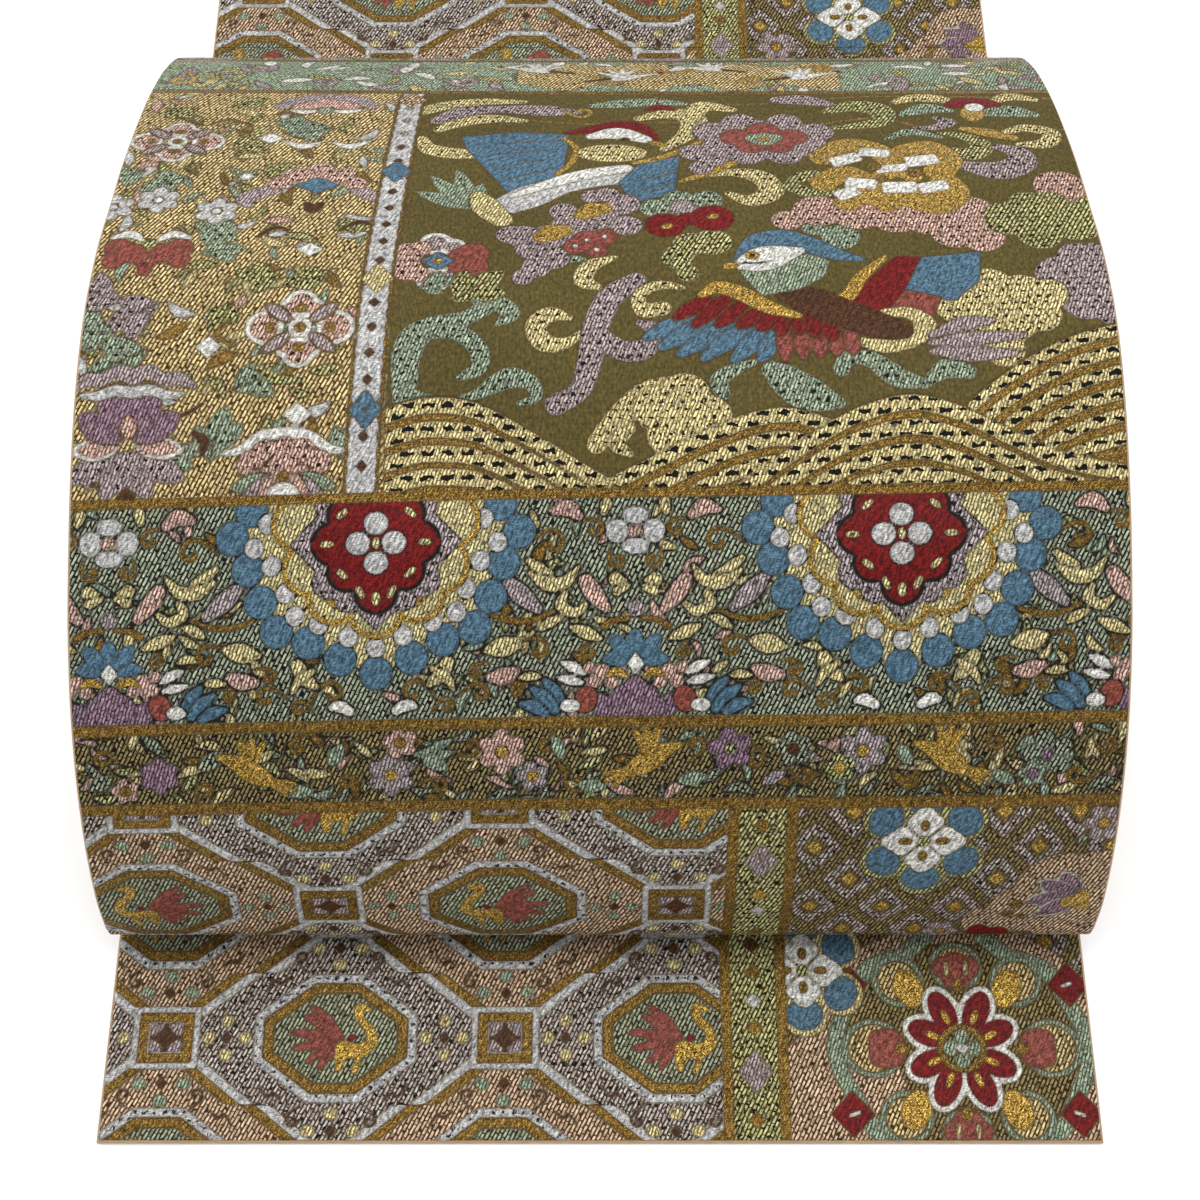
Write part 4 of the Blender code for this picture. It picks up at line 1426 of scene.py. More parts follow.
CLOUD_BANKS = (
    # yarn, puffs (x, y, radius)
    ("cream", (172, 314, 7), (180, 317, 8), (187, 311, 7), (176, 306, 7), (186, 303, 6)),
    ("leaf", (183, 376, 5.4), (190, 377, 6), (179, 370, 5), (182, 363, 3.4)),
    ("mint", (230, 379, 6), (222, 384, 4), (186, 391, 6), (178, 394, 5)),
    (
        "pink",
        (224, 393, 8),
        (236, 391, 8),
        (248, 389, 8),
        (258, 388, 8),
        (266, 381, 8),
        (274, 378, 7),
        (262, 399, 7),
        (272, 392, 8),
        (214, 388, 5),
    ),
    ("pink", (302, 406, 8), (310, 401, 8)),
    ("leaf", (284, 388, 9), (294, 394, 10), (304, 386, 10), (292, 379, 7), (312, 392, 8)),
    ("lilac", (296, 360, 8), (304, 366, 9), (312, 358, 9), (302, 350, 8), (311, 346, 7)),
    (
        "cream",
        (264, 349, 8),
        (273, 355, 8),
        (283, 352, 8),
        (268, 343, 7),
        (280, 342, 7),
        (288, 344, 6),
        (276, 332, 6),
        (291, 352, 6),
    ),
)

# Thin stems that run behind the hooked scrolls.
STEMS = (
    ((96, 446), (118, 451), (150, 447), (190, 448), (236, 436)),
    ((228, 448), (250, 452), (268, 441), (290, 440), (312, 442)),
    ((170, 470), (200, 462), (250, 469), (312, 466)),
)
STEM_WIDTH = 1.5
HOOK_FULLNESS = 1.12


def bird_panel(chart):
    """Two long-tailed birds among flowers, clouds and scrolls, over waves, on a ribbed olive ground."""
    field = chart.field(*BIRD_PANEL)
    if not field.x.size:
        return
    field.lay("olive", field.all(), gap=0)
    for points in STEMS:
        ribbon(chart, "bronze", points, [STEM_WIDTH] * len(points), BIRD_PANEL, gap=0.15)
    for yarn, points, widths in HOOKS:
        ribbon(chart, yarn, points, [HOOK_FULLNESS * width for width in widths], BIRD_PANEL, marks=("dots",))
    for bank in CLOUD_BANKS:
        cloud_bank(chart, *bank)
    left_bird(chart)
    left_flowers(chart)
    peony_and_blossom(chart)
    right_bird(chart)
    waves(chart)


def cloud_bank(chart, yarn, *puffs):
    """A bank of round puffs with rows of dark specks."""
    patch = grow(chart, [(x, y) for x, y, _ in puffs], 8, inside=BIRD_PANEL)
    if patch.x.size:
        patch.lay(yarn, patch.cloud(*puffs), marks=("dots",))


def feather(chart, yarn, points, widths):
    """A feather, or another curved part of a bird, in one yarn."""
    ribbon(chart, yarn, points, widths, BIRD_PANEL, gap=0.3)


def wing_lines(wing, lines):
    """Thin bronze lines that part the feathers of a wing."""
    for start, end in lines:
        wing.lay("bronze", wing.line((start, end), (0.3, 0.4), 0), gap=0)


def left_bird(chart):
    """The left bird flies to the right with its blue wings out."""
    root = (115, 395)
    for tip in ((96, 404.6), (100, 413.8), (108.6, 417.4), (117, 409)):
        length, turn = length_and_turn(root, tip)
        leaf = chart.patch(*root, length + 2, turn=turn, inside=BIRD_PANEL)
        leaf.lay("mint", leaf.leaf(0, 0, length, 5.6), gap=0.4)
        leaf.lay("brown", leaf.line(((2, 0), (length - 3, 0)), (0.5, 0.4), 0), gap=0)
    wing = grow(chart, [(108, 404), (146, 440)], 3, inside=BIRD_PANEL)
    shape = wing.polygon((126, 404.6), (141.8, 414), (144, 438.6), (128, 440.4), (110, 437.4), (112, 430))
    wing.lay("blue", shape - 0.8, gap=0.35)
    wing_lines(
        wing,
        (
            ((116, 433), (142, 435.5)),
            ((119, 426), (141, 430)),
            ((122, 418), (138, 424)),
            ((125, 411), (140, 418)),
        ),
    )
    feather(chart, "gold", ((143, 437), (147, 431), (146, 422), (141, 414)), (1.6, 2.0, 2.0, 1.4))
    feather(
        chart,
        "silver",
        ((124, 396), (133, 402), (142, 407), (152, 411), (163.4, 414)),
        (9, 12, 8.4, 8.4, 10),
    )
    feather(chart, "white", ((127, 402), (142, 410.6), (153, 415), (163.4, 417.6)), (2, 5, 5.4, 4.4))
    feather(chart, "cream", ((116, 402), (119, 396), (124, 389)), (5, 9, 7))
    far = grow(chart, [(160, 396), (178, 424)], 3, inside=BIRD_PANEL)
    far.lay("blue", far.polygon((166, 399), (178, 404), (180, 424), (168, 419), (162, 409)) - 0.8, gap=0.35)
    wing_lines(far, (((166, 404), (178, 409)), ((166, 410), (179, 415))))
    feather(chart, "gold", ((166, 421), (174, 424), (184, 431), (190, 438)), (1.6, 2.6, 2.2, 1.2))
    head = grow(chart, [(142, 420), (176, 450)], 3, inside=BIRD_PANEL)
    head.lay("cream", head.oval(159, 427.4, 11.4, 5.6), gap=0.35, marks=("dots",))
    crest = head.line(
        ((143.4, 440.6), (152, 443), (160, 446), (168, 445), (174, 437)), (1.6, 4.4, 5.4, 5.4, 2.0)
    )
    head.lay("red", crest, gap=0.35)
    head.lay("white", head.line(((152, 438.4), (161, 440.6), (170, 436.6)), (3.4, 7.4, 4.4)), gap=0.3)
    head.lay("brown", head.oval(163.4, 436.6, 1.5, 0.9), gap=0.25)
    head.lay("gold", head.leaf(171, 435, 7.0, 2.6, -24), gap=0.3)


def left_flowers(chart):
    """A lilac peony with gold tufts under the left bird, and a small blossom beside it."""
    peony = chart.patch(147, 384, 32, inside=BIRD_PANEL)
    west = peony.cloud(
        (-16, -4, 5.4), (-20, -3, 4.4), (-13.4, -9.6, 5.0), (-11.6, -18.4, 4.4), (-15.6, -22.6, 3.2)
    )
    east = peony.cloud(
        (15.2, 13.3, 5.4), (16.2, 1.6, 5.0), (10.4, 18.6, 3.8), (5.2, 17.6, 3.4), (-3.6, 9.4, 4.4)
    )
    heart = peony.cloud((-6.2, -14.4, 4.8), (0, 0, 8.0), (-8, -4, 6), (8, 6, 6))
    for petals in (heart, west, east):
        peony.lay("lilac", petals, gap=0.5, marks=("dots",))
    for x, y, reach in ((152.5, 394, 5.6), (140, 382, 5.8)):
        tuft = chart.patch(x, y, 9, inside=BIRD_PANEL)
        tuft.lay(
            "gold",
            tuft.cloud((0, 0, reach * 0.7), (reach * 0.6, 1, reach * 0.5), (-reach * 0.5, -2, reach * 0.5)),
            gap=0.3,
        )
    berries = chart.patch(151, 378, 12, inside=BIRD_PANEL)
    berries.lay(
        "salmon", berries.cloud((0, 0, 4.6), (5.2, 1.6, 4.0), (-3.6, -3.0, 3.6), (3.0, -4.4, 3.6)), gap=0.4
    )
    for dx, dy in ((0, 0), (5.4, 1.8), (-3.6, -3.0), (3.0, -4.6)):
        berries.lay("white", berries.disc(dx, dy, 0.9), gap=0.2)
    flower = chart.patch(105, 368.5, 22, inside=BIRD_PANEL)
    near = flower.with_places(flower.x, np.abs(flower.y))
    near.lay("white", near.cloud((-1, 8.2, 5.2), (4.5, 6.4, 4.0)), gap=0.4)
    near.lay("lilac", near.cloud((-1, 8.2, 3.4), (4.5, 6.4, 2.4)), gap=0)
    near.lay("pink", near.cloud((-9.4, 3.4, 4.8), (-5.6, 5.8, 3.2)), gap=0.4, marks=("dots",))
    near.lay("salmon", near.cloud((10.6, 3.0, 5.0), (6.4, 2.4, 3.0)), gap=0.4)
    flower.lay("blue", flower.diamond(0, 0, 5.2, 4.0), gap=0.3)
    flower.lay("gold", flower.disc(0, 0, 1.3), gap=0.2)
    lobed_leaf(chart, 110, 351.5, 20, 38, BIRD_PANEL, "leaf", False)
    lobed_leaf(chart, 100, 357, 11, 200, BIRD_PANEL, "mint", True)


def peony_and_blossom(chart):
    """A lilac peony and a gold blossom between the birds, with small blooms round them."""
    ribbon(chart, "gold", ((181, 410), (192, 416), (205, 426)), (1.6, 3.2, 2.0), BIRD_PANEL, gap=0.35)
    cloud_bank(chart, "lilac", (186, 428, 5), (192, 424, 5), (188, 418, 4))
    curl = chart.patch(149, 456, 12, inside=BIRD_PANEL)
    curl.lay("gold", curl.curl(0, 0, 4.6, 1.5, 200, 0.9, 1, 5.0), gap=0.3)
    ribbon(chart, "red", ((171, 458), (175, 460), (180, 458)), (1.4, 4.0, 1.4), BIRD_PANEL)
    peony = chart.patch(209.5, 437.0, 30, size=1.34, inside=BIRD_PANEL)
    near = peony.mirrored()
    near.lay(
        "lilac",
        near.cloud((12.6, 3.6, 5.0), (10.6, -4.0, 5.0), (4.6, -8.0, 4.6), (5.6, 8.6, 4.6), (0, 4, 6)),
        gap=0.45,
        marks=("dots",),
    )
    near.lay("salmon", near.cloud((6.6, 1.0, 4.2), (3.4, -3.6, 3.6), (0, 4.4, 4.2)), gap=0.4)
    near.lay("mint", near.cloud((0, 0, 3.4), (2.6, 0.8, 2.0)), gap=0.4)
    peony.lay("gold", peony.disc(0, 0, 1.4), gap=0.2)
    blossom = chart.patch(248, 412, 34, inside=BIRD_PANEL)
    for points, width in (
        (((-20, 12), (-12, 20), (-3, 17), (2, 10)), 7.0),
        (((8, 15), (15, 17), (20, 10), (17, 3)), 8.0),
        (((-21, -3), (-14, 2), (-7, -3)), 7.0),
        (((-14, -14), (-6, -9), (-2, -15)), 7.0),
        (((6, -12), (14, -16), (20, -10), (18, -4)), 8.0),
        (((-2, 0), (3, 4), (8, 0)), 5.0),
    ):
        blossom.lay("gold", blossom.line(points, [1.28 * width] * len(points)), gap=0.35)
    for x, y, across, along, turn in (
        (-13, 10.5, 5.2, 2.8, 24),
        (-3, 14.8, 5.0, 2.6, -10),
        (12, 9.6, 5.4, 3.0, 12),
        (-9, -3.8, 5.0, 2.8, -10),
        (1.5, 4.8, 5.2, 2.2, 8),
        (3.0, -6.2, 5.4, 3.0, 0),
        (14.0, -6.0, 4.8, 2.8, 14),
        (-14, -9.4, 4.0, 2.6, 30),
    ):
        blossom.lay("white", blossom.box(x, y, across, along, turn), gap=0.25)
    blossom.lay("bronze", blossom.cloud((8.6, 2.0, 2.6), (-3.8, 6.0, 2.2), (-2, -1.2, 2.0)), gap=0.2)
    small = chart.patch(282, 461, 14, inside=BIRD_PANEL)
    small.lay("gold", small.leaf(0, 0, 13, 8, -98), gap=0.3)
    small.lay("red", np.maximum(small.oval(0, 0, 9.4, 6.0), -small.y - 1.6), gap=0.35)
    small.lay("white", small.disc(0.4, -1.6, 3.2), gap=0.25)
    dark = chart.patch(184, 387, 26, inside=BIRD_PANEL)
    dark.lay("mint", dark.cloud((-11.5, 8, 4.8), (-4, 12.6, 5), (5, 12.4, 5)), gap=0.4, marks=("dots",))
    dark.lay("lilac", dark.cloud((-3, 8.6, 3.8), (1, 6.4, 2.6)), gap=0.35)
    dark.lay("red", dark.cloud((-8.6, -1.2, 6.2), (-1, 2, 3.4), (6.4, 2.4, 6.8)), gap=0.4)
    for dx, dy in ((-8, -2), (6.6, 3.4)):
        dark.lay("gold", dark.oval(dx, dy, 1.9, 1.2, 20), gap=0.25)


FAN_RED = (
    ((187, 352), (177, 344)),
    ((193, 351.6), (182.6, 341)),
    ((198, 349.4), (189.6, 341)),
    ((203, 346.4), (196, 340.6)),
    ((207, 345), (202, 339.6)),
)
FAN_BLUE = (
    ((182, 344.6), (167.8, 337)),
    ((188, 343.6), (172.4, 333.4)),
    ((195, 342.6), (178, 331)),
    ((200, 341.6), (185, 329.4)),
    ((205.4, 340.4), (194.2, 328.6)),
    ((209, 339.6), (202.6, 328.6)),
)


def plume(chart, yarn, foot, tip, width):
    """One pointed feather from its foot to its tip."""
    length, turn = length_and_turn(foot, tip)
    patch = chart.patch(*foot, length + 3, turn=turn, inside=BIRD_PANEL)
    blade = patch.line(((0, 0), (length * 0.5, 0), (length - 1.4, 0)), (width * 0.8, width, width * 0.45), 3)
    patch.lay(yarn, blade, gap=0.5)


def right_bird(chart):
    """The right bird has a spread wing of many colours and a long tail."""
    field = grow(chart, [(164, 322), (284, 386)], 2, inside=BIRD_PANEL)
    field.lay(
        "blue", field.polygon((248, 354), (262, 350.6), (270, 358), (271.6, 370), (253, 368)) - 0.6, gap=0.4
    )
    field.lay("salmon", field.polygon((241, 345), (254.6, 344), (257.6, 351), (244, 355)) - 0.6, gap=0.4)
    field.lay(
        "red",
        field.polygon((228.6, 348.6), (239.5, 344), (247.3, 355.5), (252.8, 368), (246.6, 368.8)) - 0.6,
        gap=0.4,
    )
    feather(chart, "gold", ((223, 352), (230, 352.4), (235, 360.6), (243, 369)), (2.2, 4.4, 3.8, 1.6))
    feather(
        chart,
        "cream",
        ((231, 336), (240, 333.6), (249, 336.5), (253, 341), (248, 345.5), (241, 345.6)),
        (2, 4.6, 6, 6, 4, 3),
    )
    for foot, tip in FAN_BLUE:
        plume(chart, "blue", foot, tip, 5.8)
    for x in (210, 215.4, 220.4, 225.4, 230.2):
        plume(chart, "salmon", (x, 340 - 0.1 * (x - 210)), (x + 0.6, 328.4 + 0.1 * (x - 210)), 4.7)
    for x, y in ((209.3, 341.8), (214.8, 342), (219.6, 340.6), (224.4, 339.6)):
        plume(chart, "red", (x - 0.6, y + 3.4), (x + 0.6, y - 4.4), 4.9)
    for foot, tip in FAN_RED:
        plume(chart, "red", foot, tip, 4.9)
    feather(
        chart,
        "gold",
        ((186, 354), (191, 357), (198.4, 354), (206, 348.6), (215, 345)),
        (2.4, 4.6, 5.4, 4.8, 2.0),
    )
    feather(
        chart,
        "brown",
        ((211, 353), (219, 351), (229, 345.5), (240, 340.5), (246, 339)),
        (5, 10.5, 10.5, 9, 6),
    )
    field.lay(
        "mint",
        field.polygon(
            (197.8, 364), (204.4, 353.8), (215.3, 356), (223.8, 361.5), (225, 367.6), (219, 370.4)
        ) - 0.4,
        gap=0.35,
    )
    feather(
        chart,
        "blue",
        ((197.4, 368), (203, 376), (211, 378.4), (219, 375.4), (228, 370.6), (236, 368)),
        (2.6, 7.4, 8.6, 8, 5, 1.6),
    )
    feather(chart, "white", ((198, 366.4), (206, 369.2), (217, 372.4)), (4, 10.5, 3))
    head = chart.patch(202, 370.4, 9, inside=BIRD_PANEL)
    head.lay("gold", head.oval(0, 0, 2.1, 1.7), gap=0.2)
    head.lay("black", head.oval(0, 0, 1.0, 0.8), gap=0)
    head.lay("black", head.line(((-4.4, -3.0), (1, -3.6), (6, -2.4)), (0.5, 0.7, 0.4)), gap=0)
    head.lay("gold", head.leaf(-4.2, -4.2, 6.0, 2.6, 186), gap=0.3)
    for points in (
        ((254, 337), (264, 341), (273, 342)),
        ((254, 334.4), (266, 335.6), (282, 336.6)),
        ((254, 331.6), (265, 330.4), (279, 330.6)),
    ):
        feather(chart, "lilac", points, (1.4, 4.8, 2.0))


def wave_band(patch, crest, drop, width):
    """One band of a wave under its crest line, with the metal line that borders it."""
    patch.lay("bronze", np.abs(patch.y - crest + drop + width / 2 + 1.1) - 1.15, gap=0.45)
    patch.lay("cream", np.abs(patch.y - crest + drop) - width / 2, gap=0.45, marks=("dashes",))


def crest_line(x, runs, heights):
    """The height of a wave's crest at each place across the cloth, as one smooth curve."""
    first = (2 * runs[0] - runs[1], 2 * heights[0] - heights[1])
    last = (2 * runs[-1] - runs[-2], 2 * heights[-1] - heights[-2])
    curve = smooth_run([first, *zip(runs, heights), last], 8)
    return np.interp(x, curve[:, 0], curve[:, 1])


WAVES = (
    # window (left, right, top), crest (places across, heights), drops of its bands,
    # how the drops shrink (places across, shares), width of a band
    (
        (150, 226, 318),
        ((150, 160, 172, 186, 200, 212, 226), (288, 294, 300, 307, 312.4, 313.6, 309)),
        (2.4, 9.6, 16.8, 24.0),
        ((150, 226), (1.0, 1.0)),
        4.4,
    ),
    (
        (BIRD_PANEL[0], 166, 322),
        ((91.5, 104, 118, 134, 150, 164), (315.6, 318.6, 316.6, 307.6, 297, 288.6)),
        (2.8, 10.2, 17.6, 24.6),
        ((91.5, 110, 164), (1.0, 1.0, 0.72)),
        4.8,
    ),
    (
        (190, BIRD_PANEL[1], 344),
        (
            (190, 200, 215, 230, 246, 260, 275, 290, 314),
            (287, 293.5, 304, 313, 317.6, 314.4, 306.4, 299, 293),
        ),
        (2.8, 10.4, 18.0, 25.2),
        ((190, 246, 314), (0.84, 1.0, 0.78)),
        4.8,
    ),
)
EAST_RISE = ((262, 270, 284, 298, 314), (313, 320, 330, 337, 341.5))
EAST_START = 264  # where the rising swell at the right begins
EAST_RINGS = 6


def nested_wave(chart, window, crest, drops, shrink, width):
    """One wave: bands of cream yarn under its crest, each bordered by a metal line."""
    left, right, top = window
    field = chart.field(left, right, MAIN_PANEL[0], top)
    if not field.x.size:
        return
    crest = crest_line(field.x, *crest)
    field.lay("bronze", field.y - crest, gap=0.45)
    for drop in drops:
        wave_band(field, crest, drop * np.interp(field.x, *shrink), width)


def eastern_swell(chart):
    """Bands that rise towards the cloth's right edge behind the last wave."""
    left, right, top = WAVES[-1][0]
    field = chart.field(left, right, MAIN_PANEL[0], top)
    if not field.x.size:
        return
    crest = crest_line(field.x, *EAST_RISE)
    field.lay("bronze", np.maximum(field.y - crest, EAST_START - field.x), gap=0.45)
    for ring in range(EAST_RINGS):
        away = field.y - crest + (2.6 + 7.0 * ring)
        start = EAST_START + 5.2 * ring - field.x
        field.lay("bronze", np.maximum(np.abs(away + 3.5) - 1.35, start), gap=0.4)
        field.lay("cream", np.maximum(np.abs(away) - 2.0, start), gap=0.45, marks=("dashes",))


def waves(chart):
    """Nested wave crests of cream yarn with long dashes, and metal lines between them."""
    for wave in WAVES[:-1]:
        nested_wave(chart, *wave)
    eastern_swell(chart)
    nested_wave(chart, *WAVES[-1])


# ---------------------------------------------------------------- the crane band

CRANES = ((133, 497, False), (163, 488, True), (194, 499, False), (226, 489, True))  # x, y, flipped
CRANE_SCROLLS = 13
SCROLL_STEP = 25
GOLD_SCROLLS = (116, 244)  # the scrolls between these places are gold


def crane_band(chart):
    """Cranes between clouds over the top fold, then a plain sage and lilac ground."""
    inside = (*FULL_WIDTH, *CRANE_BAND)
    band = chart.field(*inside)
    if band.x.size:
        band.lay("mint", band.all(), gap=0)
        scattered_leaves(chart, inside, 31, 130, ("cream", "sage", "leaf", "lilac", "white"), (6.0, 13.0))
        gold = np.maximum(np.abs(band.x - 181) - 58, np.abs(band.y - 492) - 14)
        band.lay("beige", gold + 3 * np.sin(band.x * 0.21), gap=0.3)
        for index in range(CRANE_SCROLLS):
            x = 8 + SCROLL_STEP * index
            y = 484 + 15 * (index % 2)
            yarn = "gold" if GOLD_SCROLLS[0] < x < GOLD_SCROLLS[1] or x < 30 else "lilac"
            patch = chart.patch(x, y, 15, inside=inside)
            patch.lay(
                yarn,
                patch.curl(0, 0, 5.4, 2.6, 40 + 130 * index, 0.85, 1 if index % 3 else -1, 6.0),
                gap=0.35,
            )
            patch.lay("white" if index % 2 else "leaf", patch.leaf(4, 4, 10, 4.6, 20 + 80 * index), gap=0.35)
        for x, y, flip in CRANES:
            crane(chart, x, y, flip, inside)
    around = (*FULL_WIDTH, CRANE_BAND[1], UPPER_LATTICE)
    plain = chart.field(*around)
    if plain.x.size:
        plain.lay("sage", plain.all(), gap=0)
        scattered_leaves(chart, around, 37, 150, ("cream", "leaf", "mint", "lilac", "beige"), (6.0, 12.0))
        cell = plain.repeated(12, 520, 41, 30)
        round_flower(cell, "lilac", 6, 6.4, 3.8, ("gold", 2.6), rim="cream")
        cell.lay("mint", cell.leaf(9, -5, 10, 5, -28), gap=0.35)
        cell.lay("mint", cell.leaf(-9, -5, 10, 5, 208), gap=0.35)


def crane(chart, x, y, flip, inside):
    """A white crane in flight with a red cap."""
    bird = chart.patch(x, y, 20, inside=inside, flip=flip)
    bird.lay("white", bird.line(((-14, 5), (-8, 3), (0, 0), (7, -2)), (0.9, 1.8, 5.6, 2.0)), gap=0.35)
    for dx, dy in ((-4, 10), (0, 11), (5, 9.6), (9, 6.4)):
        bird.lay("white", bird.line(((0, 0.6), (dx, dy)), (3.2, 1.4), 0), gap=0.3)
    bird.lay("brown", bird.line(((5, -1.2), (13, -4)), (2.2, 0.8), 0), gap=0.3)
    bird.lay("red", bird.disc(-13.4, 5.8, 1.1), gap=0.2)


# ---------------------------------------------------------------- the whole weave


WOVEN_LINES = (
    (LATTICE_TOP, NARROW_BAND[0]),
    (NARROW_BAND[1], MEDALLION_BAND[0]),
    (MEDALLION_BAND[1], MAIN_PANEL[0]),
    (MAIN_PANEL[1], CRANE_BAND[0]),
    (CRANE_BAND[1], CRANE_BAND[1] + 3.4),
    (UPPER_LATTICE - 3.4, UPPER_LATTICE),
)


def woven_line(chart, low, high):
    """A bronze line woven across the whole cloth."""
    line = chart.field(*FULL_WIDTH, low, high)
    line.lay("bronze", np.abs(line.y - (low + high) / 2) - (high - low) / 2 + 0.15, gap=0.25)


def weave_cloth(chart):
    """Charts every panel, band and motif of the cloth, from the ground up."""
    octagon_lattice(chart, -FAR, LATTICE_TOP)
    octagon_lattice(chart, UPPER_LATTICE, COURSE_END + FAR)
    flower_trellis(chart)
    divider_strips(chart)
    narrow_band(chart)
    medallion_band(chart)
    left_panel(chart)
    bird_panel(chart)
    panel_divider(chart)
    crane_band(chart)
    for low, high in WOVEN_LINES:
        woven_line(chart, low, high)
    np.clip(chart.layers, -FAR, FAR, out=chart.layers)


# How far each kind of weave stands up from the ground, in mm.
RELIEF = {"ground": 0.0, "ribbed": -0.05, "float": 0.13, "satin": 0.12, "metal": 0.12, "twill": 0.03}
KINDS = tuple(RELIEF)
BINDING_DEPTH = -0.04


def kinds_of(chart):
    """One layer for each kind of weave: the nearest of its yarns."""
    return [
        np.min([layer for layer, (_, _, named) in zip(chart.layers, YARNS) if named == kind], axis=0)
        for kind in KINDS
    ]


def relief_of(chart):
    """Height of the woven surface: motifs stand up a little from their ground."""
    rise = np.full(chart.layers.shape[1:], BINDING_DEPTH)
    for index, (_, _, kind) in enumerate(YARNS):
        inside = np.clip(0.1 - chart.layers[index] / 0.55, 0, 1)
        rise = np.maximum(rise, RELIEF[kind] * inside) if RELIEF[kind] > 0 else rise
    return rise


# ---------------------------------------------------------------- materials


class Nodes:
    """Short forms for adding nodes to one material."""

    def __init__(self, name):
        self.material = bpy.data.materials.new(name)
        self.material.use_nodes = True
        self.tree = self.material.node_tree
        self.shader = self.tree.nodes["Principled BSDF"]

    def put(self, socket, value):
        """Links a socket, or sets a plain value."""
        if isinstance(value, bpy.types.NodeSocket):
            self.tree.links.new(value, socket)
        else:
            socket.default_value = value

    def math(self, operation, *values, clamp=False):
        """The result of a sum on values or sockets."""
        node = self.tree.nodes.new("ShaderNodeMath")
        node.operation = operation
        node.use_clamp = clamp
        for socket, value in zip(node.inputs, values):
            self.put(socket, value)
        return node.outputs[0]

    def plus(self, first, second):
        return self.math("ADD", first, second)

    def minus(self, first, second):
        return self.math("SUBTRACT", first, second)

    def times(self, first, second):
        return self.math("MULTIPLY", first, second)

    def ramp(self, value, low, high, to_low=0.0, to_high=1.0):
        """The value's place between low and high, as a value from to_low to to_high."""
        node = self.tree.nodes.new("ShaderNodeMapRange")
        for socket, item in zip(node.inputs, (value, low, high, to_low, to_high)):
            self.put(socket, item)
        return node.outputs[0]

    def mix(self, share, first, second, blend="MIX"):
        node = self.tree.nodes.new("ShaderNodeMix")
        node.data_type = "RGBA"
        node.blend_type = blend
        sockets = {socket.identifier: socket for socket in node.inputs}
        self.put(sockets["Factor_Float"], share)
        for name, value in (("A_Color", first), ("B_Color", second)):
            self.put(sockets[name], (*value, 1.0) if isinstance(value, tuple) else value)
        return next(socket for socket in node.outputs if socket.identifier == "Result_Color")

    def map(self, vector, scale=(1, 1, 1), turn=0.0, shift=(0, 0, 0)):
        node = self.tree.nodes.new("ShaderNodeMapping")
        self.put(node.inputs["Vector"], vector)
        node.inputs["Scale"].default_value = scale
        node.inputs["Rotation"].default_value = (0, 0, math.radians(turn))
        node.inputs["Location"].default_value = shift
        return node.outputs[0]

    def noise(self, vector, scale, detail=2.0, roughness=0.5):
        node = self.tree.nodes.new("ShaderNodeTexNoise")
        node.noise_dimensions = "2D" if scale > 0 else "3D"
        self.put(node.inputs["Vector"], vector)
        node.inputs["Scale"].default_value = abs(scale)
        node.inputs["Detail"].default_value = detail
        node.inputs["Roughness"].default_value = roughness
        return node.outputs["Fac"]

    def bricks(self, vector, width, height, mortar, smooth):
        """How much of each brick shows: 1 on a brick and 0 in the gap."""
        node = self.tree.nodes.new("ShaderNodeTexBrick")
        node.offset = 0.5
        node.squash = 1.0
        self.put(node.inputs["Vector"], vector)
        node.inputs["Scale"].default_value = 1.0
        node.inputs["Mortar Size"].default_value = mortar
        node.inputs["Mortar Smooth"].default_value = smooth
        node.inputs["Brick Width"].default_value = width
        node.inputs["Row Height"].default_value = height
        return self.minus(1.0, node.outputs["Fac"])

    def cloth_map(self):
        """Place on the flat cloth, in millimetres."""
        node = self.tree.nodes.new("ShaderNodeUVMap")
        node.uv_map = "Cloth"
        return node.outputs[0]

    def layers(self, name, count):
        """The chart's layers, or its kinds, each as one value."""
        values = []
        for index in range(count // 3):
            node = self.tree.nodes.new("ShaderNodeAttribute")
            node.attribute_name = f"{name}{index + 1}"
            split = self.tree.nodes.new("ShaderNodeSeparateXYZ")
            self.put(split.inputs[0], node.outputs["Vector"])
            values += list(split.outputs)
        return values

    def bump(self, height, strength, distance):
        node = self.tree.nodes.new("ShaderNodeBump")
        node.inputs["Strength"].default_value = strength
        node.inputs["Distance"].default_value = distance
        self.put(node.inputs["Height"], height)
        self.put(self.shader.inputs["Normal"], node.outputs[0])


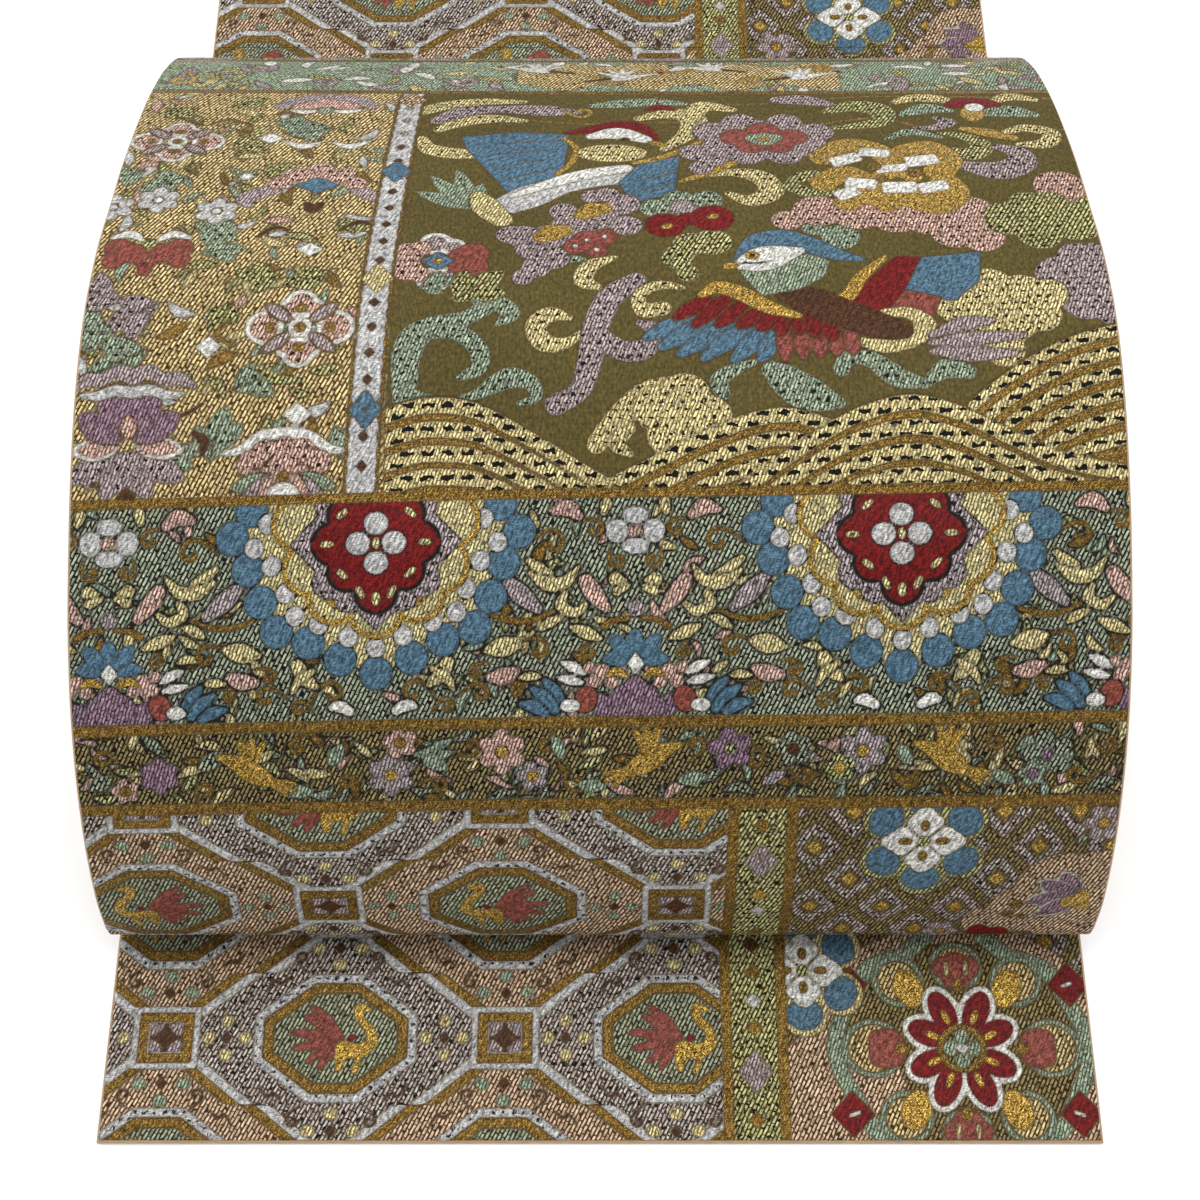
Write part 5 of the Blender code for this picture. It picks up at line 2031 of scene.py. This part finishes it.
def brocade_material(settings):
    """Figured brocade: the chart says which yarn lies on top, and each kind has its own weave."""
    n = Nodes("Figured brocade")
    place = n.cloth_map()
    # Weaves, in millimetres on the cloth.
    sway = n.minus(n.noise(place, 0.55, 0.0), 0.5)
    drift = n.tree.nodes.new("ShaderNodeVectorMath")
    drift.operation = "SCALE"
    drift.inputs[0].default_value = FLOAT_DRIFT
    n.put(drift.inputs["Scale"], sway)
    swayed = n.tree.nodes.new("ShaderNodeVectorMath")  # adds its two vectors
    n.put(swayed.inputs[0], place)
    n.put(swayed.inputs[1], drift.outputs[0])
    loose = swayed.outputs[0]
    slanted = n.map(loose, turn=FLOAT_TURN)
    streaks = n.noise(n.map(slanted, scale=(0.42, 1.5, 1)), 1.0, 1.0, 0.6)
    thread_noise = n.noise(place, 0.9, 1.0)
    wander = n.noise(n.map(place, scale=(1.3, 0.5, 1)), 1.0, 1.0)
    short_floats = n.bricks(slanted, settings.float_length, settings.float_width, FLOAT_GAP, 0.5)
    fine_size = (settings.float_length * 0.9, settings.float_width * 0.86, FINE_FLOAT_GAP)
    fine_floats = n.bricks(n.map(loose, turn=FINE_FLOAT_TURN), *fine_size, 0.5)
    satin_lines = n.noise(n.map(place, scale=(0.5, 5.2, 1)), 1.0, 1.0)
    rib = n.bricks(place, *RIB, 0.8)
    twill = n.bricks(n.map(place, turn=TWILL_TURN), *TWILL, 0.7)
    # Places of the painted highlights and painted shade on the metal threads
    glint = n.noise(n.map(loose, scale=(1.5, 2.3, 1)), 1.0, 2.0, 0.8)
    speck = n.bricks(n.map(loose, shift=(0.3, 0.2, 0)), *SPECK, 0.1)
    speck_dark = n.times(n.ramp(speck, 0.45, 0.62), n.ramp(wander, 0.40, 0.50))

    kinds = dict(zip(KINDS, (n.ramp(layer, -EASE, EASE, 1.0, 0.0) for layer in n.layers("Kind", len(KINDS)))))
    ragged = n.ramp(streaks, 0.25, 0.75, -0.34, 0.34)
    cover = [
        n.ramp(n.plus(layer, ragged), -EASE, EASE, 1.0, 0.0)
        for layer in n.layers("Weave", len(YARNS) + len(MARKS))
    ]
    yarn_cover = dict(zip(YARN_NAMES, cover))
    dots, dashes, black = cover[len(YARNS):]

    colour = n.mix(black, BINDING, BLACK_BINDING)
    for name, tint, _ in YARNS:
        colour = n.mix(yarn_cover[name], colour, tint)

    # The ground's and the floats' thread by thread light and dark.
    gap_dark = n.mix(black, GAP, BLACK_GAP)
    ground_gap = n.times(kinds["ground"], n.minus(1.0, short_floats))
    colour = n.mix(ground_gap, colour, gap_dark, "MULTIPLY")
    float_gap = n.times(kinds["float"], n.minus(1.0, fine_floats))
    colour = n.mix(n.times(float_gap, 0.85), colour, gap_dark, "MULTIPLY")
    rib_gap = n.times(kinds["ribbed"], n.minus(1.0, rib))
    colour = n.mix(n.times(rib_gap, 0.9), colour, RIB_GAP, "MULTIPLY")
    rib_tint = n.times(kinds["ribbed"], n.ramp(wander, 0.35, 0.75))
    colour = n.mix(n.times(rib_tint, 0.45), colour, RIB_GOLD)
    metal = n.plus(kinds["metal"], kinds["twill"])
    twill_gap = n.times(metal, n.minus(1.0, twill))
    colour = n.mix(n.times(twill_gap, 0.95), colour, TWILL_GAP, "MULTIPLY")
    # Painted highlight and painted shade: glint spots on the metal and twill threads, bright where light
    # would catch them and dark between them
    metal_share = n.plus(kinds["metal"], n.times(kinds["twill"], 0.38))
    painted_glint_share = n.times(metal_share, n.ramp(glint, 0.51, 0.60))
    colour = n.mix(n.times(painted_glint_share, 0.85), colour, PAINTED_GLINT_COLOUR)
    painted_shade_share = n.times(kinds["metal"], n.ramp(glint, 0.50, 0.44))
    colour = n.mix(n.times(painted_shade_share, 0.85), colour, PAINTED_GLINT_SHADE)
    satin_tone = n.times(kinds["satin"], n.ramp(satin_lines, 0.36, 0.62, 0.85, 0.0))
    colour = n.mix(satin_tone, colour, SATIN_SHADE, "MULTIPLY")

    # Dark specks between the floats, and the long dashes in the waves.
    soft = n.math("ADD", n.plus(kinds["float"], kinds["ground"]), kinds["satin"], clamp=True)
    specks = n.times(n.times(dots, soft), speck_dark)
    colour = n.mix(specks, colour, SPECK_DARK)
    dash = n.bricks(n.map(loose, shift=(0.8, 0.4, 0)), *DASH, 0.1)
    long_specks = n.times(dashes, n.ramp(dash, 0.35, 0.55))
    colour = n.mix(long_specks, colour, DASH_DARK)

    # Uneven dye and threads over the whole cloth.
    streaky = n.minus(1.0, n.times(kinds["ribbed"], 0.85))
    streak_tone = n.plus(0.76, n.times(n.ramp(streaks, 0.34, 0.66, -0.34, 0.50), streaky))
    tone = n.times(n.ramp(thread_noise, 0.25, 0.75, 0.72, 1.12), streak_tone)
    toned = n.times(tone, n.ramp(n.noise(place, 0.03, 2.0), 0.3, 0.7, 0.93, 1.07))
    value = n.tree.nodes.new("ShaderNodeHueSaturation")
    n.put(value.inputs["Color"], colour)
    n.put(value.inputs["Value"], toned)
    value.inputs["Saturation"].default_value = settings.saturation
    # Painted warm light: the whole front's colour is tinted as warm lamps would tint it
    warmed = n.mix(1.0, value.outputs[0], PAINTED_WARM_LIGHT, "MULTIPLY")
    n.put(n.shader.inputs["Base Color"], warmed)

    shine = n.times(metal, 0.6)
    n.put(n.shader.inputs["Metallic"], shine)
    rough = n.minus(0.78, n.times(kinds["satin"], 0.30))
    rough = n.minus(rough, n.times(metal, 0.38))
    n.put(n.shader.inputs["Roughness"], rough)
    n.shader.inputs["Specular IOR Level"].default_value = 0.10

    height = n.times(ground_gap, -0.55)
    height = n.minus(height, n.times(float_gap, 0.6))
    height = n.minus(height, n.times(twill_gap, 0.4))
    n.bump(height, 0.8, 0.00035)
    return n.material


def back_material(settings):
    """Plain twill of the back cloth."""
    n = Nodes("Back cloth")
    place = n.cloth_map()
    twill = n.bricks(n.map(place, turn=BACK_TWILL_TURN), *BACK_TWILL, 0.8)
    slub = n.noise(n.map(place, scale=(0.3, 2.2, 1)), 1.0, 3.0)
    broad = n.noise(place, 0.05, 2.0)
    colour = n.mix(n.ramp(slub, 0.3, 0.7), tuple(settings.back_colour), (0.500, 0.350, 0.205))
    colour = n.mix(n.times(n.minus(1.0, twill), 0.7), colour, (0.45, 0.38, 0.30), "MULTIPLY")
    colour = n.mix(n.ramp(broad, 0.35, 0.7, 0.0, 0.35), colour, (0.300, 0.190, 0.095))
    n.put(n.shader.inputs["Base Color"], colour)
    n.shader.inputs["Roughness"].default_value = 0.68
    n.shader.inputs["Sheen Weight"].default_value = 0.12
    n.bump(twill, 0.5, 0.0003)
    return n.material


def layered_material(settings):
    """The edges of the folded rest: figured cloth and plain backing, layer upon layer."""
    n = Nodes("Folded layers")
    coords = n.tree.nodes.new("ShaderNodeTexCoord")
    place = coords.outputs["Object"]
    split = n.tree.nodes.new("ShaderNodeSeparateXYZ")
    n.put(split.inputs[0], place)
    layer = n.math("FRACT", n.math("DIVIDE", split.outputs[2], LAYER_PITCH))
    figured = n.math("GREATER_THAN", layer, 0.52)
    threads = n.noise(n.map(place, scale=(900, 900, 2600)), -1.0, 2.0)
    patches = n.noise(n.map(place, scale=(110, 110, 900)), -1.0, 2.0)
    front = n.mix(n.ramp(patches, 0.42, 0.58), (0.300, 0.170, 0.045), (0.330, 0.320, 0.240))
    colour = n.mix(figured, tuple(settings.back_colour), front)
    colour = n.mix(n.ramp(threads, 0.3, 0.7, 0.7, 0.0), colour, (0.45, 0.38, 0.28), "MULTIPLY")
    n.put(n.shader.inputs["Base Color"], colour)
    n.shader.inputs["Roughness"].default_value = 0.7
    n.shader.inputs["Sheen Weight"].default_value = 0.12
    n.bump(threads, 0.6, 0.0003)
    return n.material


def cached_material(name, make, settings):
    """The material of this name, made when it is first asked for."""
    return bpy.data.materials.get(name) or make(settings)


# ---------------------------------------------------------------- making the pieces


def grid_mesh(name, points, closed=False):
    """A mesh over a grid of places; closed joins its last column to its first."""
    rows, cols = points.shape[:2]
    mesh = bpy.data.meshes.new(name)
    index = np.arange(rows * cols, dtype=np.int32).reshape(rows, cols)
    if closed:
        index = np.hstack((index, index[:, :1]))
    corners = np.stack(
        (index[:-1, :-1], index[:-1, 1:], index[1:, 1:], index[1:, :-1]), axis=-1
    ).reshape(-1, 4)
    mesh.vertices.add(rows * cols)
    mesh.vertices.foreach_set("co", points.reshape(-1).astype(np.float32))
    mesh.loops.add(corners.size)
    mesh.loops.foreach_set("vertex_index", corners.reshape(-1))
    mesh.polygons.add(len(corners))
    mesh.polygons.foreach_set("loop_start", np.arange(0, corners.size, 4, dtype=np.int32))
    mesh.update(calc_edges=True)
    mesh.polygons.foreach_set("use_smooth", np.ones(len(corners), dtype=bool))
    return mesh, corners


def add_cloth_map(mesh, corners, x, y):
    """The piece's own map: its place on the flat cloth, in millimetres."""
    layer = mesh.uv_layers.new(name="Cloth")
    flat = np.stack((x.reshape(-1)[corners], y.reshape(-1)[corners]), axis=-1)
    layer.data.foreach_set("uv", flat.reshape(-1).astype(np.float32))


def finish_piece(name, mesh, material, nodes):
    """Adds the piece to the scene, fixes it to the root body and hides the parts that it stands in for."""
    mesh.materials.append(material)
    piece = bpy.data.objects.new(name, mesh)
    bpy.context.scene.collection.objects.link(piece)
    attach(piece, "root")
    if nodes:
        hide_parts(*nodes)
    return piece


def columns(step):
    """Places across the cloth: close together round its two turned edges."""
    edge = np.array((*TURNED_EDGE, 0.55))
    count = int(round((CLOTH_WIDTH_MM - 2 * EVEN_FROM) / step))
    middle = np.linspace(EVEN_FROM, CLOTH_WIDTH_MM - EVEN_FROM, count + 1)
    return np.concatenate((edge, middle, (CLOTH_WIDTH_MM - edge)[::-1]))


def brocade_sheet(name, along, step, nodes, settings, near_edge=False):
    """A fine sheet of the figured front cloth over a stretch of the cloth."""
    across = columns(step)
    if near_edge:
        along = np.concatenate(((*TURNED_EDGE, 0.5), along[along > 0.9]))
    chart = Chart(across, along)
    weave_cloth(chart)
    rise = relief_of(chart)
    x, y = np.meshgrid(across, along)
    side = np.minimum(x, CLOTH_WIDTH_MM - x)
    inset, drop = turned_edge(side)
    place_x = np.where(x < CLOTH_WIDTH_MM / 2, inset, CLOTH_WIDTH_MM - inset)
    place_y = y
    lift = rise - drop
    if near_edge:
        inset, end_drop = turned_edge(y)
        place_y = inset
        lift = np.minimum(lift, rise - end_drop)
    mesh, corners = grid_mesh(name, placed(place_x, place_y, lift))
    add_cloth_map(mesh, corners, x, y)
    for prefix, stack in (("Weave", chart.layers), ("Kind", np.array(kinds_of(chart)))):
        for index in range(len(stack) // 3):
            layer = mesh.attributes.new(f"{prefix}{index + 1}", "FLOAT_VECTOR", "POINT")
            values = np.moveaxis(stack[3 * index : 3 * index + 3], 0, -1)
            layer.data.foreach_set("vector", np.ascontiguousarray(values, dtype=np.float32).reshape(-1))
    material = cached_material("Figured brocade", brocade_material, settings)
    return finish_piece(name, mesh, material, nodes)


def back_sheet(name, along, nodes, settings, near_edge=False):
    """A closed thin sheet of the plain back cloth, a little wider than the front, with a round rim."""
    top, low = BACK_TOP, 1000 * CLOTH_THICKNESS
    half = (low - top) / 2
    inner = np.linspace(2.0, CLOTH_WIDTH_MM - 2.0, 60)
    middle = (top + low) / 2
    rim = np.radians((78, 52, 26, 0, -26, -52, -78))
    rim_x = CLOTH_WIDTH_MM + BACK_REACH - half + half * np.cos(rim)
    right = np.column_stack((rim_x, middle - half * np.sin(rim)))
    left = np.column_stack((CLOTH_WIDTH_MM - right[::-1, 0], right[::-1, 1]))
    upper = np.column_stack((inner, np.full(len(inner), top)))
    under = np.column_stack((inner[::-1], np.full(len(inner), low)))
    ring = np.vstack((upper, right, under, left))
    rows = [(y, 1.0) for y in along]
    if near_edge:
        rows[0] = (-BACK_REACH + half, 1.0)
        round_end = [(-BACK_REACH + half - half * math.cos(a), math.sin(a)) for a in np.radians((12, 40, 65))]
        rows = round_end + rows
    x = np.array([ring[:, 0] for _ in rows])
    y = np.array([np.full(len(ring), row) for row, _ in rows])
    depth = np.array([middle + (ring[:, 1] - middle) * fullness for _, fullness in rows])
    mesh, corners = grid_mesh(name, placed(x, y, -depth), closed=True)
    add_cloth_map(mesh, corners, x, y)
    close_ends(mesh)
    material = cached_material("Back cloth", back_material, settings)
    return finish_piece(name, mesh, material, nodes)


def close_ends(mesh):
    """Fills the two open ends of a tube-like mesh and turns its faces outwards."""
    work = bmesh.new()
    work.from_mesh(mesh)
    bmesh.ops.holes_fill(work, edges=[edge for edge in work.edges if edge.is_boundary], sides=0)
    bmesh.ops.recalc_face_normals(work, faces=work.faces)
    work.to_mesh(mesh)
    work.free()


def fold_reach(height, first, reaches):
    """How far the stack's end reaches out at a height: one round fold for each two layers."""
    fold = (height - first) / (2 * LAYER_PITCH)
    if not 0 <= fold <= len(reaches):
        return BETWEEN_FOLDS
    number = min(int(fold), len(reaches) - 1)
    middle = 2 * (fold - number) - 1
    return reaches[number] - LAYER_PITCH * (1 - math.sqrt(max(0.0, 1 - middle * middle)))


def folded_rest(settings):
    """The rest of the sash, folded to and fro: layers at its sides, round folds at its two ends."""
    steps = 8  # heights in each layer
    half_width = CLOTH_WIDTH_MM / 2000
    rows = []
    for layer in range(STACK_LAYERS):
        for step in range(steps + 1):
            share = step / steps
            if step == steps and layer < STACK_LAYERS - 1:
                continue
            height = (layer + share) * LAYER_PITCH
            groove = LAYER_GROOVE * (2 * share - 1) ** 4
            half = half_width + SIDE_REACH[layer] - groove
            near = STACK_NEAR - fold_reach(height, LAYER_PITCH, NEAR_FOLD_REACH)
            far = STACK_FAR - SEAM + fold_reach(height, 0.0, FAR_FOLD_REACH)
            rows.append(stack_ring(half, near, far, height, layer + share))
    mesh, _ = grid_mesh("Folded_rest", np.array(rows), closed=True)
    close_ends(mesh)
    material = cached_material("Folded layers", layered_material, settings)
    return finish_piece("Folded_rest", mesh, material, ["folded_rest"])


def stack_ring(half, near, far, height, level):
    """One outline of the folded rest, seen from above, with soft unevenness along its sides."""
    corner = STACK_CORNER
    ring = []
    for x_sign, run, start in ((1, near, -90), (1, far, 0), (-1, far, 90), (-1, near, 180)):
        centre = (x_sign * (half - corner), run + (corner if run == near else -corner))
        for angle in np.radians(np.linspace(start, start + 90, 4)):
            ring.append((centre[0] + corner * math.cos(angle), centre[1] + corner * math.sin(angle)))
    points = []
    for (ax, ay), (bx, by) in zip(ring, ring[1:] + ring[:1]):
        count = SIDE_POINTS if math.hypot(bx - ax, by - ay) > LONG_SIDE else 1
        for i in range(count):
            x, run = ax + (bx - ax) * i / count, ay + (by - ay) * i / count
            ripple = sum(size * math.sin(pace * run + shift * int(level)) for size, pace, shift in RIPPLES)
            x += math.copysign(ripple, x) if abs(x) > half - corner else 0.0
            points.append((x, TAIL_END + run, height))
    return points


# ---------------------------------------------------------------- operators


class ObiSettings(bpy.types.PropertyGroup):
    """Sizes and colours of the sash's cloth."""

    float_length: bpy.props.FloatProperty(
        name="Float length", description="Length of the ground's slanted floats, in mm", default=3.0, min=0.5
    )
    float_width: bpy.props.FloatProperty(
        name="Float width", description="Width of the ground's slanted floats, in mm", default=1.2, min=0.2
    )
    saturation: bpy.props.FloatProperty(
        name="Saturation",
        description="How strong the dyes are",
        default=1.0,
        min=0.0,
        max=2.0,
        subtype="FACTOR",
    )
    back_colour: bpy.props.FloatVectorProperty(
        name="Back cloth",
        description="Colour of the plain back cloth",
        default=(0.400, 0.270, 0.150),
        min=0.0,
        max=1.0,
        subtype="COLOR",
    )
    tail_step: bpy.props.FloatProperty(
        name="Tail grid", description="Mesh step of the tail's front, in mm", default=0.8, min=0.4
    )
    lower_step: bpy.props.FloatProperty(
        name="Lower drum grid",
        description="Mesh step of the drum's lower front, in mm",
        default=0.86,
        min=0.4,
    )
    upper_step: bpy.props.FloatProperty(
        name="Upper drum grid",
        description="Mesh step of the drum's upper front, in mm",
        default=0.94,
        min=0.4,
    )
    stretch_step: bpy.props.FloatProperty(
        name="Upper stretch grid", description="Mesh step of the upper stretch, in mm", default=1.25, min=0.4
    )


class StageSettings(bpy.types.PropertyGroup):
    """The floor, the lights and the camera."""

    floor_colour: bpy.props.FloatVectorProperty(
        name="Floor",
        description="Colour of the pale floor",
        default=(0.94, 0.94, 0.94),
        min=0.0,
        max=1.0,
        subtype="COLOR",
    )
    floor_size: bpy.props.FloatProperty(
        name="Floor size", description="Side of the floor", default=8.0, min=1.0, unit="LENGTH"
    )
    lens: bpy.props.FloatProperty(name="Lens", description="Focal length, in mm", default=60.0, min=10.0)
    camera_height: bpy.props.FloatProperty(
        name="Camera height", description="Height of the camera over the floor", default=0.6285, unit="LENGTH"
    )
    camera_reach: bpy.props.FloatProperty(
        name="Camera distance",
        description="How far the camera stands before the tail",
        default=0.1319,
        unit="LENGTH",
    )
    camera_tilt: bpy.props.FloatProperty(
        name="Camera tilt",
        description="Tilt up from straight down",
        default=math.radians(27),
        subtype="ANGLE",
    )


def steps_between(low, high, step):
    """Evenly spaced places from low to high, at most a step apart."""
    return np.linspace(low, high, int(math.ceil((high - low) / step)) + 1)


def stretch_and_turn(step, turn_step):
    """Places along the upper stretch, closer together where it turns down at its far end."""
    turn = COURSE_END - FAR_TURN
    flat = steps_between(UPPER_START_MM + PIECE_GAP, turn, step)
    return np.concatenate((flat, steps_between(turn, COURSE_END, turn_step)[1:]))


class OBI_OT_tail(bpy.types.Operator):
    """Makes the tail's figured front and plain back"""

    bl_idname = "obi.tail"
    bl_label = "Tail"

    def execute(self, context):
        settings = context.scene.obi_settings
        along = steps_between(0.0, TAIL_END_MM, settings.tail_step)
        front = brocade_sheet(
            "Tail_front", along, settings.tail_step, ["tail_front"], settings, near_edge=True
        )
        back = back_sheet(
            "Tail_back", steps_between(0.0, TAIL_END_MM, BACK_STEP), ["tail_back"], settings, near_edge=True
        )
        return {"FINISHED"}


class OBI_OT_drum(bpy.types.Operator):
    """Makes the drum's figured front, in two lengths that meet at a woven line, and its back"""

    bl_idname = "obi.drum"
    bl_label = "Drum"

    def execute(self, context):
        settings = context.scene.obi_settings
        step = settings.lower_step
        seen = steps_between(LIP_MM, DRUM_SPLIT_MM, step)
        hidden = steps_between(TAIL_END_MM + PIECE_GAP, LIP_MM, UNDER_LIP_STEP)
        along = np.concatenate((hidden[:-1], seen))
        low = brocade_sheet("Drum_front_low", along, step, ["drum_front"], settings)
        step = settings.upper_step
        seen = steps_between(DRUM_SPLIT_MM, HORIZON_MM, step)
        hidden = steps_between(HORIZON_MM, UPPER_START_MM, DESCENT_STEP)
        along = np.concatenate((seen, hidden[1:]))
        high = brocade_sheet("Drum_front_high", along, step, [], settings)
        back_rows = steps_between(TAIL_END_MM + PIECE_GAP, UPPER_START_MM, DRUM_BACK_STEP)
        back = back_sheet("Drum_back", back_rows, ["drum_back"], settings)
        return {"FINISHED"}


class OBI_OT_upper_stretch(bpy.types.Operator):
    """Makes the upper stretch, which lies on the folded rest and turns down into it"""

    bl_idname = "obi.upper_stretch"
    bl_label = "Upper Stretch"

    def execute(self, context):
        settings = context.scene.obi_settings
        step = settings.stretch_step
        along = stretch_and_turn(step, FRONT_TURN_STEP)
        front = brocade_sheet("Upper_front", along, step, ["upper_front"], settings)
        rows = stretch_and_turn(BACK_STEP, BACK_TURN_STEP)
        back = back_sheet("Upper_back", rows, ["upper_back"], settings)
        return {"FINISHED"}


class OBI_OT_folded_rest(bpy.types.Operator):
    """Makes the folded rest of the sash, layered at its edges"""

    bl_idname = "obi.folded_rest"
    bl_label = "Folded Rest"

    def execute(self, context):
        rest = folded_rest(context.scene.obi_settings)
        return {"FINISHED"}


class OBI_OT_stage(bpy.types.Operator):
    """Makes the floor, the lights and the camera"""

    bl_idname = "obi.stage"
    bl_label = "Stage"

    def execute(self, context):
        settings = context.scene.obi_stage
        bpy.ops.mesh.primitive_plane_add(size=settings.floor_size)
        floor = context.object
        floor.name = "floor"
        n = Nodes("Pale floor")
        place = n.tree.nodes.new("ShaderNodeTexCoord").outputs["Object"]
        tone = n.ramp(n.noise(place, -3.0, 2.0), 0.3, 0.7, 0.985, 1.0)
        n.put(n.shader.inputs["Base Color"], n.mix(tone, (0.90, 0.90, 0.90), tuple(settings.floor_colour)))
        n.shader.inputs["Roughness"].default_value = 0.9
        n.shader.inputs["Specular IOR Level"].default_value = 0.1
        floor.data.materials.append(n.material)
        for name, place, turn, size, power in LIGHTS:
            light = bpy.data.lights.new(name, "AREA")
            light.shape = "RECTANGLE"
            light.size, light.size_y = size
            light.energy = power
            lamp = bpy.data.objects.new(name, light)
            lamp.location = place
            lamp.rotation_euler = [math.radians(angle) for angle in turn]
            context.scene.collection.objects.link(lamp)
        world = context.scene.world or bpy.data.worlds.new("Soft room")
        context.scene.world = world
        world.use_nodes = True
        context.scene.view_settings.view_transform = "Standard"
        world.node_tree.nodes["Background"].inputs["Color"].default_value = (1, 1, 1, 1)
        world.node_tree.nodes["Background"].inputs["Strength"].default_value = WORLD_LIGHT
        camera = bpy.data.objects.new("Camera", bpy.data.cameras.new("Camera"))
        camera.data.lens = settings.lens
        camera.data.sensor_width = 36
        camera.location = (0, TAIL_END - settings.camera_reach, settings.camera_height)
        camera.rotation_euler = (settings.camera_tilt, 0, 0)
        context.scene.collection.objects.link(camera)
        context.scene.camera = camera
        return {"FINISHED"}


PIECE_OPERATORS = (OBI_OT_tail, OBI_OT_drum, OBI_OT_upper_stretch, OBI_OT_folded_rest, OBI_OT_stage)


class OBI_PT_sash(bpy.types.Panel):
    """The sash's pieces, sizes and colours"""

    bl_idname = "OBI_PT_sash"
    bl_label = "Obi Sash"
    bl_space_type = "VIEW_3D"
    bl_region_type = "UI"
    bl_category = "Obi"

    def draw(self, context):
        for operator in PIECE_OPERATORS:
            self.layout.operator(operator.bl_idname)
        for group in (context.scene.obi_settings, context.scene.obi_stage):
            for name in group.__annotations__:
                self.layout.prop(group, name)


CLASSES = (ObiSettings, StageSettings, *PIECE_OPERATORS, OBI_PT_sash)


def register():
    for cls in CLASSES:
        bpy.utils.register_class(cls)
    bpy.types.Scene.obi_settings = bpy.props.PointerProperty(type=ObiSettings)
    bpy.types.Scene.obi_stage = bpy.props.PointerProperty(type=StageSettings)


def unregister():
    del bpy.types.Scene.obi_stage
    del bpy.types.Scene.obi_settings
    for cls in reversed(CLASSES):
        bpy.utils.unregister_class(cls)


def main():
    register()
    bpy.ops.obi.tail()
    bpy.ops.obi.drum()
    bpy.ops.obi.upper_stretch()
    bpy.ops.obi.folded_rest()
    bpy.ops.obi.stage()


if __name__ == "__main__":
    main()
